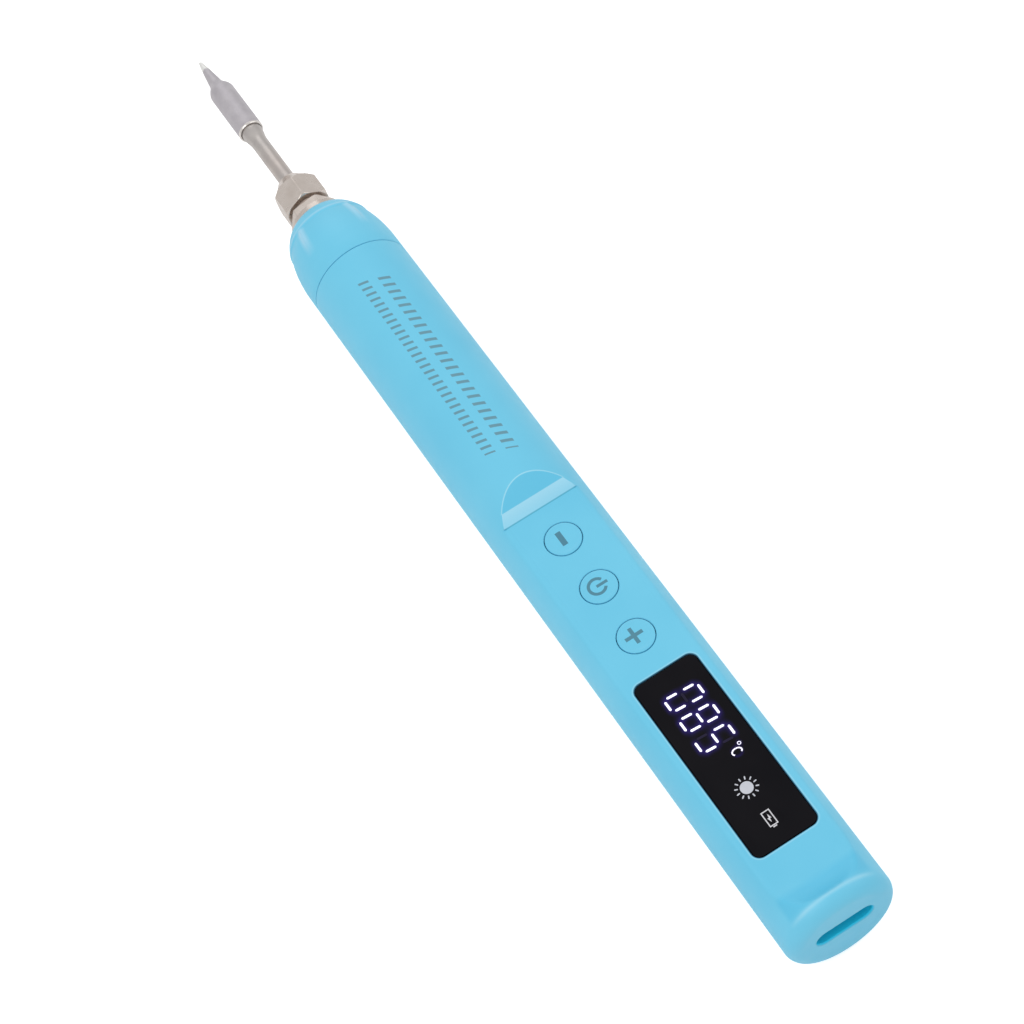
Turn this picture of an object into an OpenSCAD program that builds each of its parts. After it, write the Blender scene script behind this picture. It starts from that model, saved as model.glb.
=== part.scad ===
// Rechargeable pen soldering iron: round barrel with a sunk control flat, screwed nose collar,
// clamp nut and plug-in tip cartridge. Millimetres. The pen lies along X with its tip towards -X.
// Stations along the pen are measured from the point of the tip, heights from the barrel's axis.

/* [Overall] */
// Length from the point of the tip to the rear face
overall_l = 206; // [195:0.5:240]
// Radius of the barrel
barrel_r = 9; // [8.8:0.1:10.5]
// Station of the seam between collar and barrel
seam_x = 63.5; // [62:0.5:70]

/* [Barrel] */
// Wall of the round grip
grip_wall = 1.5; // [1.2:0.1:1.6]
// Wall under the control flat
flat_wall = 1.8; // [1.5:0.1:2.2]
// Height of the control flat above the axis
flat_h = 6.1; // [5.8:0.1:6.6]
// Thickness of the closed rear end
rear_wall = 2; // [1.5:0.1:3]
// Rounding of the rear edge
rear_fillet = 2.2; // [0.5:0.1:3]
// Grip length from the seam to the top of the thumb step
grip_l = 55.9; // [55:0.5:70]
// Slope of the thumb step
step_angle = 32; // [25:1:60]
// Slope of the narrow band at the foot of the step
band_angle = 24.5; // [15:0.5:40]
// Height of the narrow band
band_h = 0.95; // [0.5:0.05:1.5]
// Length of the curved rise behind the flat
rise_l = 5.4; // [3:0.1:7]
// Distance from the end of the rise to the rear face
rise_end = 2.6; // [2:0.1:5]

/* [Collar] */
// Length of the nose collar
collar_l = 14.8; // [14:0.1:16]
// Radius of the collar's front rim
collar_front_r = 6; // [5.8:0.1:7]
// Length of the curved part of the collar
collar_curve_l = 12; // [8:0.1:14]
// Number of grip scoops
scoop_count = 5; // [4:1:8]
// Depth of a grip scoop at its front end
scoop_depth = 0.3; // [0.2:0.05:0.6]
// Distance from the collar's front to the scoops
scoop_start = 3; // [1.5:0.1:4]
// Thickness of the collar's front wall
collar_wall = 2.2; // [1.5:0.1:3]
// Pitch of the collar's thread
collar_pitch = 1.5; // [1:0.25:2]
// Turns that free the collar from the barrel
collar_turns = 3; // [2:0.5:4]
// Wall of the screwed spigot
spigot_wall = 0.7; // [0.6:0.05:1]

/* [Tip] */
// Radius of the tip sleeve
sleeve_r = 2.35; // [2.2:0.05:2.6]
// Station where the sleeve reaches its full radius
shoulder_x = 9.1; // [8:0.1:12]
// Station of the sleeve's rear rim
sleeve_end_x = 21.2; // [18:0.1:26]
// Radius of the shank
shank_r = 1.53; // [1.4:0.01:1.6]
// Length of the flare where the shank leaves the sleeve
flare_l = 3.4; // [2:0.1:5]
// Radius of the ceramic heater
heater_r = 1.1; // [0.9:0.05:1.15]

/* [Nut and bush] */
// Width of both hexagons across their flats
hex_af = 8; // [7.5:0.1:8.5]
// Length of the nut
nut_l = 7.6; // [6.5:0.1:9]
// Radius of the nut's front face
nut_front_r = 2.45; // [2:0.05:3]
// Length of the nut's tapered front
nut_taper_l = 3.1; // [2:0.1:4]
// Radius of the bush's front thread
thread_r = 3; // [2.8:0.05:3.2]
// Gap between nut and hexagon flange
nut_gap = 1.1; // [0.5:0.1:2]
// Thickness of the hexagon flange
flange_l = 1.8; // [1.2:0.1:3]
// Turn of the flange against the nut
flange_turn = -20; // [-30:1:30]
// Radius of the bush where the collar turns on it
bush_r = 4.25; // [4:0.05:4.6]

/* [Buttons] */
// Radius of a button
button_r = 2.95; // [2.6:0.05:3.2]
// Distance from the foot of the step to the first button
button_first = 6.9; // [5:0.1:10]
// Distance between buttons
button_pitch = 10.5; // [9:0.1:12]
// How far a button goes down
button_travel = 0.4; // [0.2:0.05:0.5]

/* [Display] */
// Length of the display window
window_l = 33.2; // [28:0.1:36]
// Width of the display window
window_w = 10.7; // [8:0.1:11.2]
// Corner radius of the window
window_corner = 1.3; // [0.5:0.1:3]
// Thickness of the window
window_t = 1.15; // [0.8:0.05:1.3]
// Distance from the last button to the window
window_first = 7.2; // [5:0.1:12]

/* [Inside] */
// Radius of the battery cell
cell_r = 6.5; // [5:0.1:6.5]
// Length of the battery cell
cell_l = 45; // [30:0.5:46]
// Thickness of the circuit board
board_t = 1.2; // [0.8:0.1:1.6]
// Width of the circuit board
board_w = 13.8; // [12:0.1:13.8]
// Wall of the board carrier
carrier_wall = 1.1; // [0.8:0.1:1.4]
// Radius of a lead
lead_r = 0.5; // [0.3:0.05:0.5]

/* [Charging port] */
// Width of the port opening
port_w = 9.4; // [9.2:0.1:10]
// Height of the port opening
port_h = 3.3; // [3.3:0.1:4]
// Height of the port above the axis
port_z = 0.9; // [0.4:0.1:1.4]

/* [Fits] */
// Radial clearance of a turning or sliding fit
run_fit = 0.05; // [0.02:0.01:0.1]
// Clearance of pieces that are only laid together
lay_fit = 0.1; // [0.05:0.01:0.2]
// Visible seam between collar and barrel
seam_gap = 0.12; // [0.08:0.01:0.3]
// Axial play of pieces that move against each other
play = 0.3; // [0.25:0.05:0.5]

/* [Hidden] */
$fn = 64;
eps = 0.05;
axis_z = barrel_r;

// barrel
bore_r = barrel_r - grip_wall;
ceiling_z = flat_h - flat_wall;
spigot_l = collar_turns * collar_pitch + 0.5;
spigot_x = seam_x - spigot_l;
spigot_bore_r = bore_r - 0.2;
spigot_r = spigot_bore_r + spigot_wall;
arch_x = seam_x + grip_l;
band_z = flat_h + band_h;
band_x = arch_x + (barrel_r - band_z) / tan(step_angle);
crease_x = band_x + band_h / tan(band_angle);
rise_top_x = overall_l - rise_end;
rise_x = rise_top_x - rise_l;
rise_h = barrel_r - flat_h;
rise_r = (rise_l * rise_l + rise_h * rise_h) / (2 * rise_h);
rise_arc = asin(rise_l / rise_r);
low_bore_x = arch_x - 2.4;
rear_bore_x = overall_l - rear_wall;

// collar
collar_x = seam_x - collar_l;
collar_bore_x = spigot_x - play;
collar_cavity_r = collar_front_r - 0.4;
scoop_x = collar_x + scoop_start;
scoop_l = 7;
scoop_land = 7;
scoop_angle = 360 / scoop_count - scoop_land;

// bush and nut, built forwards from the collar's rim
shoulder_l = 1.75;
shoulder_gap = 0.25;
bush_shoulder_x = collar_x - shoulder_gap - shoulder_l;
flange_x = bush_shoulder_x - flange_l;
nut_end_x = flange_x - nut_gap;
nut_x = nut_end_x - nut_l;
nut_thread_l = 2.4;
thread_x = nut_end_x - nut_thread_l;
shank_bore_r = shank_r + 0.07;
retainer_x = collar_x + collar_wall + play;
retainer_l = 2;
retainer_r = collar_cavity_r - 0.4;
bush_tail_x = retainer_x + retainer_l;
bush_tail_r = 3.2;
bush_end_x = bush_tail_x + 3.4;
insulator_end_x = bush_end_x + 1;
hex_r = hex_af / sqrt(3);

// tip cartridge
heater_x = shoulder_x - 1.3;
sleeve_bore_r = sleeve_r - 0.35;
sleeve_bore_x = shoulder_x + 2.6;
shank_x = sleeve_end_x - 1.2;
shank_wall = shank_r - heater_r - 0.1;
clamp_r = thread_r - 0.5;
clamp_l = 1;
clamp_x = thread_x - 0.3 - clamp_l;
jack_end_x = seam_x - 0.5;
jack_core_r = 0.9;
jack_r = shank_r - 0.03;
jack_pin_x = jack_end_x - 2.2;
jack_gap_l = 0.6;
jack_ring_l = 2;
jack_ring_x = jack_pin_x - jack_gap_l - jack_ring_l;
shank_end_x = jack_ring_x - 1.2;
heater_end_x = clamp_x + 3.8;

// contacts in the spigot
holder_x = spigot_x + 0.4;
holder_end_x = seam_x - play;
holder_r = spigot_bore_r - 0.05;
contact_r = jack_r + 0.9;
contact_bore_r = jack_r + 0.06;
contact_l = 1;
contact_front_x = jack_ring_x + (jack_ring_l - contact_l) / 2 + 0.3;
contact_rear_x = jack_pin_x + 0.35;
holder_bore_r = jack_r + 0.25;

// battery and what lies round it
cell_x = seam_x + 3;
cell_end_x = cell_x + cell_l;
cell_z = cell_r + lay_fit - bore_r;
tab_t = 0.2;
tab_w = 5;
cap_h = 0.6;
pad_x = cell_end_x + tab_t + 2 * lead_r + 0.2;
pad_end_x = low_bore_x - 1.1;
pad_r = bore_r - 0.15;
lead_z = bore_r - lead_r - 0.6;
low_lead_z = lead_z - 0.5;
lead_side = 2.2;
lead_drop_x = low_bore_x - 0.6;
lead_drop_z = 2;

// circuit board and carrier
board_x = low_bore_x + 1.5;
lead_end_x = board_x + 1;
board_end_x = rear_bore_x - 0.4;
shell_h = port_h - 0.1;
board_z = port_z - shell_h / 2 - 0.05;
board_bottom_z = board_z - board_t;
lead_end_z = board_z + lead_r + 0.1;
carrier_z = board_bottom_z - 0.03;
carrier_r = bore_r - lay_fit;
screw_front_x = board_x + 3.2;
screw_rear_x = rear_bore_x - 9.2;
screw_r = 0.8;
screw_head_r = 1.5;
screw_head_h = 0.9;
boss_r = 1.9;

// buttons, switches
minus_x = crease_x + button_first;
power_x = minus_x + button_pitch;
plus_x = power_x + button_pitch;
button_top_z = flat_h + 0.06;
button_flange_r = button_r + 0.75;
button_flange_z = ceiling_z - 0.2;
button_bottom_z = button_flange_z - 0.7;
plunger_r = 1.6;
plunger_z = button_bottom_z - 0.05;
plunger_l = 2.1;
switch_w = 6;
switch_top_z = button_bottom_z - button_travel - 0.4;
switch_well_z = plunger_z - plunger_l - button_travel - 0.4;

// display
window_x = plus_x + window_first;
window_end_x = window_x + window_l;
ledge_w = 0.8;
window_z = flat_h - window_t - 0.05;
module_inset = ledge_w + lay_fit;
module_face_z = window_z - 0.08;
module_z = board_z + 1.75;

// port
shell_w = 8.94;
shell_l = 7.3;
shell_end_x = rear_bore_x - 0.2;
shell_x = shell_end_x - shell_l;

// ---- placing ----

// Puts a shape that stands on the origin on the pen's axis, with its Z along the pen
module on_axis(x = 0) {
    translate([x - overall_l / 2, 0, axis_z])
        rotate([0, 90, 0])
            children();
}

// Puts a shape at a station, an offset to the side and a height above the axis
module at(x, y = 0, z = 0) {
    translate([x - overall_l / 2, y, axis_z + z])
        children();
}

// Round bar between two stations
module bar(x0, x1, r) {
    on_axis(x0)
        cylinder(h = x1 - x0, r = r);
}

// Round tube between two stations
module pipe(x0, x1, outer, inner) {
    difference() {
        bar(x0, x1, outer);
        bar(x0 - eps, x1 + eps, inner);
    }
}

// Body turned from points of [radius, station]
module turned(points) {
    on_axis()
        rotate_extrude()
            polygon(points);
}

// Box between two stations and two heights
module box(x0, x1, w, z0, z1, y = 0) {
    at(x0, y - w / 2, z0)
        cube([x1 - x0, w, z1 - z0]);
}

// Hexagonal bar with one corner up
module hex_bar(x0, x1, turn = 0) {
    on_axis(x0)
        rotate(turn)
            cylinder(h = x1 - x0, r = hex_r, $fn = 6);
}

// Points of a quarter round from the outside of a turned body to its end face
function round_edge(r, x, fillet, steps = 8) =
    [for (i = [0:steps]) [r - fillet + fillet * cos(90 * i / steps), x - fillet + fillet * sin(90 * i / steps)]];

// Outline of a plate with round corners, centred across
module round_plate(l, w, corner) {
    translate([corner, -w / 2])
        square([l - 2 * corner, w]);
    translate([0, corner - w / 2])
        square([l, w - 2 * corner]);
    for (x = [corner, l - corner], y = [corner - w / 2, w / 2 - corner])
        translate([x, y])
            circle(r = corner);
}

// Bar with full round edges, lying along the pen
module stadium_bar(x0, x1, w, h, z) {
    at(x0, 0, z)
        rotate([90, 0, 90])
            linear_extrude(x1 - x0)
                union() {
                    square([w - h, h], center = true);
                    for (side = [-1, 1])
                        translate([side * (w - h) / 2, 0])
                            circle(d = h);
                }
}

function unit(v) = v / norm(v);

// Direction of a lead at one of its points, halved between its two neighbours at a bend
function lead_dir(points, i) =
    i == 0 ? unit(points[1] - points[0])
    : i == len(points) - 1 ? unit(points[i] - points[i - 1])
    : unit(unit(points[i + 1] - points[i]) + unit(points[i] - points[i - 1]));

// Insulated lead through a list of [station, side, height], all at one side
module lead(points) {
    sides = 12;
    last = len(points) - 1;
    rings = [for (i = [0:last]) let (out = cross(lead_dir(points, i), [0, 1, 0])) for (k = [0:sides - 1])
        points[i] + lead_r * (cos(360 * k / sides) * [0, 1, 0] + sin(360 * k / sides) * out)];
    walls = [for (i = [0:last - 1], k = [0:sides - 1]) let (next = (k + 1) % sides)
        [i * sides + k, (i + 1) * sides + k, (i + 1) * sides + next, i * sides + next]];
    front = [for (k = [0:sides - 1]) k];
    rear = [for (k = [sides - 1:-1:0]) last * sides + k];
    at(0)
        polyhedron(rings, concat(walls, [front, rear]));
}

// ---- barrel ----

// Side view of the material taken off above the control flat
module flat_cut() {
    reach = 5;
    steps = 10;
    rise = [for (i = [0:steps]) let (a = rise_arc * i / steps)
        [rise_x + rise_r * sin(a), flat_h + rise_r * (1 - cos(a))]];
    at(0, barrel_r + 1, 0)
        rotate([90, 0, 0])
            linear_extrude(2 * barrel_r + 2)
                polygon(concat(
                    [[arch_x - reach / tan(step_angle), barrel_r + reach], [band_x, band_z], [crease_x, flat_h]],
                    rise,
                    [[rise_top_x + 3, barrel_r + reach]]));
}

module barrel_shell() {
    color("SkyBlue")
        difference() {
            union() {
                turned(concat([[0, seam_x], [barrel_r, seam_x]],
                    round_edge(barrel_r, overall_l, rear_fillet), [[0, overall_l]]));
                bar(spigot_x, seam_x + 1, spigot_r);
            }
            flat_cut();
            bar(spigot_x - eps, seam_x + 1, spigot_bore_r);
            bar(seam_x + 1 - eps, low_bore_x, bore_r);
            intersection() {
                bar(low_bore_x - eps, rear_bore_x, bore_r);
                box(low_bore_x - 1, rear_bore_x + 1, 2 * bore_r, -bore_r - 1, ceiling_z);
            }
            for (x = [minus_x, power_x, plus_x])
                at(x, 0, ceiling_z - 1)
                    cylinder(h = flat_wall + 2, r = button_r + lay_fit);
            at(window_x - lay_fit, 0, window_z)
                linear_extrude(window_t + 1)
                    round_plate(window_l + 2 * lay_fit, window_w + 2 * lay_fit, window_corner + lay_fit);
            box(window_x + ledge_w, window_end_x - ledge_w, window_w - 2 * ledge_w, ceiling_z - 1, window_z + eps);
            stadium_bar(rear_bore_x - 1, overall_l + 1, port_w, port_h, port_z);
        }
}

// ---- nose ----

// Radius of the collar's outside at a station: a quarter of an ellipse, then the barrel's radius
function collar_r(x) = let (u = (collar_x + collar_curve_l - x) / collar_curve_l)
    u <= 0 ? barrel_r : collar_front_r + (barrel_r - collar_front_r) * pow(1 - pow(u, 3), 0.8);

module nose_collar() {
    steps = 14;
    scoop_steps = 8;
    runout = 0.9;
    hole_r = bush_r + run_fit;
    outside = [for (i = [0:steps]) let (x = collar_x + collar_curve_l * pow(i / steps, 1.8)) [collar_r(x), x]];
    floor = [for (i = [0:scoop_steps]) let (t = i / scoop_steps, x = scoop_x + scoop_l * t)
        [collar_r(x) - scoop_depth * (1 - runout * t), x]];
    scoop = concat(floor, [[barrel_r + 1, scoop_x + scoop_l], [barrel_r + 1, scoop_x]]);
    color("SkyBlue")
        difference() {
            turned(concat([[hole_r, collar_x]], outside,
                [[barrel_r, seam_x - seam_gap], [hole_r, seam_x - seam_gap]]));
            bar(collar_x + collar_wall, collar_bore_x + eps, collar_cavity_r);
            bar(collar_bore_x, seam_x, spigot_r + run_fit);
            on_axis()
                for (i = [0:scoop_count - 1])
                    rotate(i * 360 / scoop_count + 180 - scoop_angle / 2)
                        rotate_extrude(angle = scoop_angle)
                            polygon(scoop);
        }
}

module nozzle_bush() {
    color("Silver")
        difference() {
            union() {
                turned([[0, thread_x], [thread_r - 0.3, thread_x], [thread_r, thread_x + 0.3],
                    [thread_r, flange_x + eps], [0, flange_x + eps]]);
                hex_bar(flange_x, bush_shoulder_x, flange_turn);
                bar(bush_shoulder_x - eps, bush_shoulder_x + shoulder_l, collar_front_r - 1.1);
                bar(bush_shoulder_x + shoulder_l - eps, bush_tail_x, bush_r);
                bar(bush_tail_x - eps, bush_end_x, bush_tail_r);
            }
            bar(thread_x - 1, bush_end_x + 1, shank_bore_r);
        }
}

module bush_retainer() {
    color("DimGray")
        pipe(retainer_x, retainer_x + retainer_l, retainer_r, bush_r + 0.01);
}

module nozzle_insulator() {
    color("Sienna")
        difference() {
            bar(bush_tail_x, insulator_end_x, retainer_r);
            bar(bush_tail_x - eps, bush_end_x, bush_tail_r + 0.01);
            bar(bush_end_x - eps, insulator_end_x + eps, shank_bore_r);
        }
}

module tip_nut() {
    bore_r = thread_r + run_fit;
    color("Silver")
        difference() {
            intersection() {
                turned([[0, nut_x], [nut_front_r - 0.15, nut_x], [nut_front_r, nut_x + 0.15],
                    [hex_r, nut_x + nut_taper_l], [hex_r, nut_end_x - 0.45], [hex_r - 0.45, nut_end_x],
                    [0, nut_end_x]]);
                hex_bar(nut_x, nut_end_x);
            }
            bar(nut_x - 1, nut_end_x, shank_r + 0.08);
            bar(clamp_x - play, nut_end_x, clamp_r + 0.1);
            bar(thread_x - play, nut_end_x + 1, bore_r);
        }
}

// ---- tip cartridge ----

module tip_sleeve() {
    color("RosyBrown")
        turned([[0, 0], [0.2, 0.05], [0.33, 0.2], [0.52, 1.4], [0.79, 3.4], [1.05, 5.3],
            [1.27, shoulder_x - 2.6], [1.5, shoulder_x - 2.1], [2.05, shoulder_x - 1.1],
            [sleeve_r - 0.06, shoulder_x - 0.1], [sleeve_r, shoulder_x + 0.5], [sleeve_r, sleeve_end_x - 0.3], [sleeve_r - 0.12, sleeve_end_x],
            [sleeve_bore_r, sleeve_end_x], [sleeve_bore_r, sleeve_bore_x],
            [heater_r + 0.1, sleeve_bore_x], [heater_r + 0.1, heater_x - 0.1], [0, heater_x - 0.1]]);
}

module tip_shank() {
    flare_r = sleeve_bore_r - 0.05;
    steps = 6;
    flare = [for (i = [0:steps]) let (t = i / steps)
        [shank_r + (flare_r - shank_r) * (1 + cos(180 * t)) / 2, sleeve_end_x + flare_l * t]];
    inner_r = shank_r - shank_wall;
    color("Gainsboro")
        turned(concat([[inner_r, shank_x], [flare_r, shank_x]], flare,
            [[shank_r, clamp_x], [clamp_r, clamp_x], [clamp_r, clamp_x + clamp_l], [shank_r, clamp_x + clamp_l],
                [shank_r, shank_end_x], [inner_r, shank_end_x]]));
}

module heater_core() {
    color("White")
        bar(heater_x, heater_end_x, heater_r);
}

module heater_wires() {
    color("Goldenrod")
        for (side = [-1, 1])
            at(heater_end_x, side * 0.5, 0)
                rotate([0, 90, 0])
                    cylinder(h = shank_end_x - 1.2 - heater_end_x, r = 0.22, $fn = 24);
}

module jack_insulator() {
    color("SaddleBrown")
        turned([[0, shank_end_x - 1], [jack_core_r, shank_end_x - 1], [jack_core_r, shank_end_x], [jack_r, shank_end_x],
            [jack_r, jack_ring_x], [jack_core_r, jack_ring_x], [jack_core_r, jack_ring_x + jack_ring_l],
            [jack_r, jack_ring_x + jack_ring_l], [jack_r, jack_pin_x], [jack_core_r, jack_pin_x],
            [jack_core_r, jack_pin_x + 1], [0, jack_pin_x + 1]]);
}

module jack_ring() {
    color("Gold")
        pipe(jack_ring_x, jack_ring_x + jack_ring_l, jack_r, jack_core_r);
}

module jack_pin() {
    color("Gold")
        turned([[jack_core_r, jack_pin_x], [jack_r, jack_pin_x], [jack_r, jack_end_x - 0.6],
            [jack_r - 0.5, jack_end_x], [0, jack_end_x], [0, jack_pin_x + 1], [jack_core_r, jack_pin_x + 1]]);
}

// ---- contacts ----

module contact_seat(x) {
    bar(x - 0.02, x + contact_l + 0.02, contact_r + 0.02);
}

module contact_holder() {
    color("DarkSlateGray")
        difference() {
            bar(holder_x, holder_end_x, holder_r);
            bar(holder_x - eps, holder_end_x + eps, holder_bore_r);
            contact_seat(contact_front_x);
            contact_seat(contact_rear_x);
            for (side = [-1, 1])
                at(holder_end_x - 1, side, lead_z)
                    rotate([0, 90, 0])
                        cylinder(h = 2, r = lead_r + lay_fit);
        }
}

module contact_ring(x) {
    color("Gold")
        pipe(x, x + contact_l, contact_r, contact_bore_r);
}

// ---- battery ----

module battery_cell() {
    cap_r = 2.4;
    edge = 0.5;
    color("SteelBlue")
        at(cell_x, 0, cell_z)
            rotate([0, 90, 0])
                rotate_extrude()
                    polygon([[0, -cap_h], [cap_r, -cap_h], [cap_r, 0], [cell_r - edge, 0], [cell_r, edge],
                        [cell_r, cell_l - edge], [cell_r - edge, cell_l], [0, cell_l]]);
}

module battery_tab(x) {
    color("LightGray")
        box(x, x + tab_t, tab_w, cell_z - tab_w / 2, cell_z + tab_w / 2);
}

module foam_pad() {
    color("DimGray")
        difference() {
            bar(pad_x, pad_end_x, pad_r);
            box(pad_x - 1, pad_end_x + 1, 2 * pad_r, 0.6, pad_r + 1);
        }
}

module heater_lead(side) {
    color("White")
        lead([[holder_end_x - 0.8, side, lead_z], [pad_x - 1, side, lead_z],
            [lead_drop_x, side, lead_drop_z], [lead_end_x, side, lead_end_z]]);
}

module battery_lead_front() {
    x = cell_x - cap_h - tab_t - lead_r;
    color("Crimson")
        lead([[x, lead_side, cell_z + 1], [x, lead_side, low_lead_z], [pad_x - 1, lead_side, low_lead_z],
            [lead_drop_x, lead_side, lead_drop_z], [lead_end_x, lead_side, lead_end_z]]);
}

module battery_lead_rear() {
    x = cell_end_x + tab_t + lead_r;
    color("DarkSlateGray")
        lead([[x, -lead_side, cell_z + 1], [x, -lead_side, lead_drop_z + 0.4],
            [lead_drop_x, -lead_side, lead_drop_z], [lead_end_x, -lead_side, lead_end_z]]);
}

// ---- board ----

module board_carrier() {
    inside_r = carrier_r - carrier_wall;
    color("Gainsboro")
        difference() {
            intersection() {
                bar(board_x, board_end_x, carrier_r);
                box(board_x - 1, board_end_x + 1, 2 * carrier_r, -carrier_r - 1, carrier_z);
            }
            difference() {
                bar(board_x + carrier_wall, board_end_x - carrier_wall, inside_r);
                for (x = [screw_front_x, screw_rear_x])
                    at(x, 0, -carrier_r)
                        cylinder(h = carrier_r, r = boss_r);
            }
            for (x = [screw_front_x, screw_rear_x])
                at(x, 0, carrier_z - 3.5)
                    cylinder(h = 4, r = screw_r);
        }
}

module main_board() {
    color("DarkGreen")
        difference() {
            box(board_x, board_end_x, board_w, board_bottom_z, board_z);
            for (x = [screw_front_x, screw_rear_x])
                at(x, 0, board_bottom_z - 1)
                    cylinder(h = board_t + 2, r = screw_r + lay_fit);
        }
}

module carrier_screws() {
    color("Silver")
        for (x = [screw_front_x, screw_rear_x])
            difference() {
                at(x, 0, board_z)
                    rotate_extrude()
                        polygon([[0, -board_t - 3], [screw_r - 0.3, -board_t - 3], [screw_r - 0.02, -board_t - 2.6],
                            [screw_r - 0.02, 0], [screw_head_r, 0], [screw_head_r, screw_head_h - 0.3],
                            [screw_head_r - 0.3, screw_head_h], [0, screw_head_h]]);
                at(x, 0, board_z + screw_head_h - 0.45) {
                    cube([1.8, 0.35, 1], center = true);
                    cube([0.35, 1.8, 1], center = true);
                }
            }
}

module charge_chip() {
    color("Black")
        box(power_x + 2, power_x + 7, 5, board_bottom_z - 1.2, board_bottom_z - 0.01);
}

module boost_inductor() {
    color("DimGray")
        at(minus_x + 1, 0, board_bottom_z - 2.9)
            cylinder(h = 2.89, r = 2.8);
}

module filter_capacitors() {
    color("Peru")
        for (i = [0:3])
            box(plus_x + 1 + 3 * i, plus_x + 2.6 + 3 * i, 3.2, board_bottom_z - 1.3, board_bottom_z - 0.01);
}

module power_transistor() {
    color("Black")
        box(screw_front_x + 2.6, screw_front_x + 5.6, 5, board_bottom_z - 1.1, board_bottom_z - 0.01);
}

// ---- switches and buttons ----

module switch_body(x) {
    color("DarkSlateGray")
        difference() {
            box(x - switch_w / 2, x + switch_w / 2, switch_w, board_z, switch_top_z);
            at(x, 0, switch_well_z)
                cylinder(h = 10, r = plunger_r + run_fit);
        }
}

module plunger(x) {
    color("WhiteSmoke")
        at(x, 0, plunger_z - plunger_l)
            cylinder(h = plunger_l, r = plunger_r);
}

module button(x) {
    color("SkyBlue")
        at(x, 0, 0)
            rotate_extrude()
                polygon([[0, button_bottom_z], [button_flange_r, button_bottom_z], [button_flange_r, button_flange_z],
                    [button_r, button_flange_z], [button_r, button_top_z - 0.18], [button_r - 0.15, button_top_z],
                    [button_r - 0.4, button_top_z], [button_r - 0.75, button_top_z - 0.1], [0, button_top_z - 0.1]]);
}

// ---- display ----

module display_module() {
    face_l = window_l - 2 * module_inset;
    face_w = window_w - 2 * module_inset;
    color("WhiteSmoke")
        difference() {
            union() {
                box(window_x + module_inset, window_x + module_inset + face_l, face_w, module_z + 1, module_face_z);
                box(window_x, window_end_x, window_w - 0.8, module_z, ceiling_z - 0.1);
            }
            // room over the port's shell
            box(shell_x - play, rear_bore_x, shell_w + 2 * play, module_z - 1, port_z + shell_h / 2 + play);
        }
}

module display_pins() {
    color("Silver")
        for (i = [0:5], side = [-1, 1])
            box(window_x + 3 + 5 * i, window_x + 3.5 + 5 * i, 0.5, board_z, module_z, side * 3.8);
}

module display_window() {
    color("Black")
        at(window_x, 0, window_z)
            linear_extrude(window_t)
                round_plate(window_l, window_w, window_corner);
}

// ---- charging port ----

module usb_shell() {
    shell_wall = 0.3;
    color("Silver")
        difference() {
            stadium_bar(shell_x, shell_end_x, shell_w, shell_h, port_z);
            stadium_bar(shell_x + shell_wall, shell_end_x + 1, shell_w - 2 * shell_wall, shell_h - 2 * shell_wall,
                port_z);
        }
}

module usb_tongue() {
    tongue_w = 6.7;
    color("Black")
        box(rear_bore_x - 7.1, rear_bore_x - 1, tongue_w, port_z - 0.35, port_z + 0.35);
}

barrel_shell();
nose_collar();
nozzle_bush();
bush_retainer();
nozzle_insulator();
tip_nut();
tip_sleeve();
tip_shank();
heater_core();
heater_wires();
jack_insulator();
jack_ring();
jack_pin();
contact_holder();
contact_ring(contact_front_x);  // contact_ring_front
contact_ring(contact_rear_x);  // contact_ring_rear
battery_cell();
battery_tab(cell_x - cap_h - tab_t);  // battery_tab_front
battery_tab(cell_end_x);  // battery_tab_rear
foam_pad();
heater_lead(-1);  // heater_lead_a
heater_lead(1);  // heater_lead_b
battery_lead_front();
battery_lead_rear();
board_carrier();
main_board();
carrier_screws();
charge_chip();
boost_inductor();
filter_capacitors();
power_transistor();
switch_body(minus_x);  // switch_minus
switch_body(power_x);  // switch_power
switch_body(plus_x);  // switch_plus
plunger(minus_x);  // plunger_minus
plunger(power_x);  // plunger_power
plunger(plus_x);  // plunger_plus
button(minus_x);  // button_minus
button(power_x);  // button_power
button(plus_x);  // button_plus
display_module();
display_pins();
display_window();
usb_shell();
usb_tongue();
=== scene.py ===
import bmesh
import bpy
import math
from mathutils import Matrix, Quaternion, Vector


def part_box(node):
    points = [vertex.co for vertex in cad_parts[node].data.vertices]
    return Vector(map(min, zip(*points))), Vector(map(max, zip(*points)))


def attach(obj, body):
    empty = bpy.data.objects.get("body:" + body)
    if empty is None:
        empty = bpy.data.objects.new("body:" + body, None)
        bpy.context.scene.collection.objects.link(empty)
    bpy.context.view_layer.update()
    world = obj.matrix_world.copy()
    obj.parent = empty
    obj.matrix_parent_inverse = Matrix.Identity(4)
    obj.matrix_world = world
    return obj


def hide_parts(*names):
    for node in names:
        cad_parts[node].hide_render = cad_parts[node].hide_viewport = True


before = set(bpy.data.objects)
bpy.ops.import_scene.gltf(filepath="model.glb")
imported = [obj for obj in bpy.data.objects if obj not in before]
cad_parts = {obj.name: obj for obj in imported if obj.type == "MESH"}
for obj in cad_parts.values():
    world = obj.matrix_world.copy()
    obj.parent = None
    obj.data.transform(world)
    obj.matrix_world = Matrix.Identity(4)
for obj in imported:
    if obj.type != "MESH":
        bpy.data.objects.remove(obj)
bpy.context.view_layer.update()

mm = 0.001
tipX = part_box("tip_sleeve")[0].x  # the point of the tip
axisZ = sum(corner.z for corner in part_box("nose_collar")) / 2
barrelRadius = (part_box("nose_collar")[1].z - axisZ) / mm


# ---- places, in millimetres along, across and above the pen's axis ----

def place(station, side=0.0, height=0.0):
    return Vector((tipX + station * mm, side * mm, axisZ + height * mm))


def alongX(station):
    return place(station).x


def aboveZ(height):
    return place(0, 0, height).z


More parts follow.
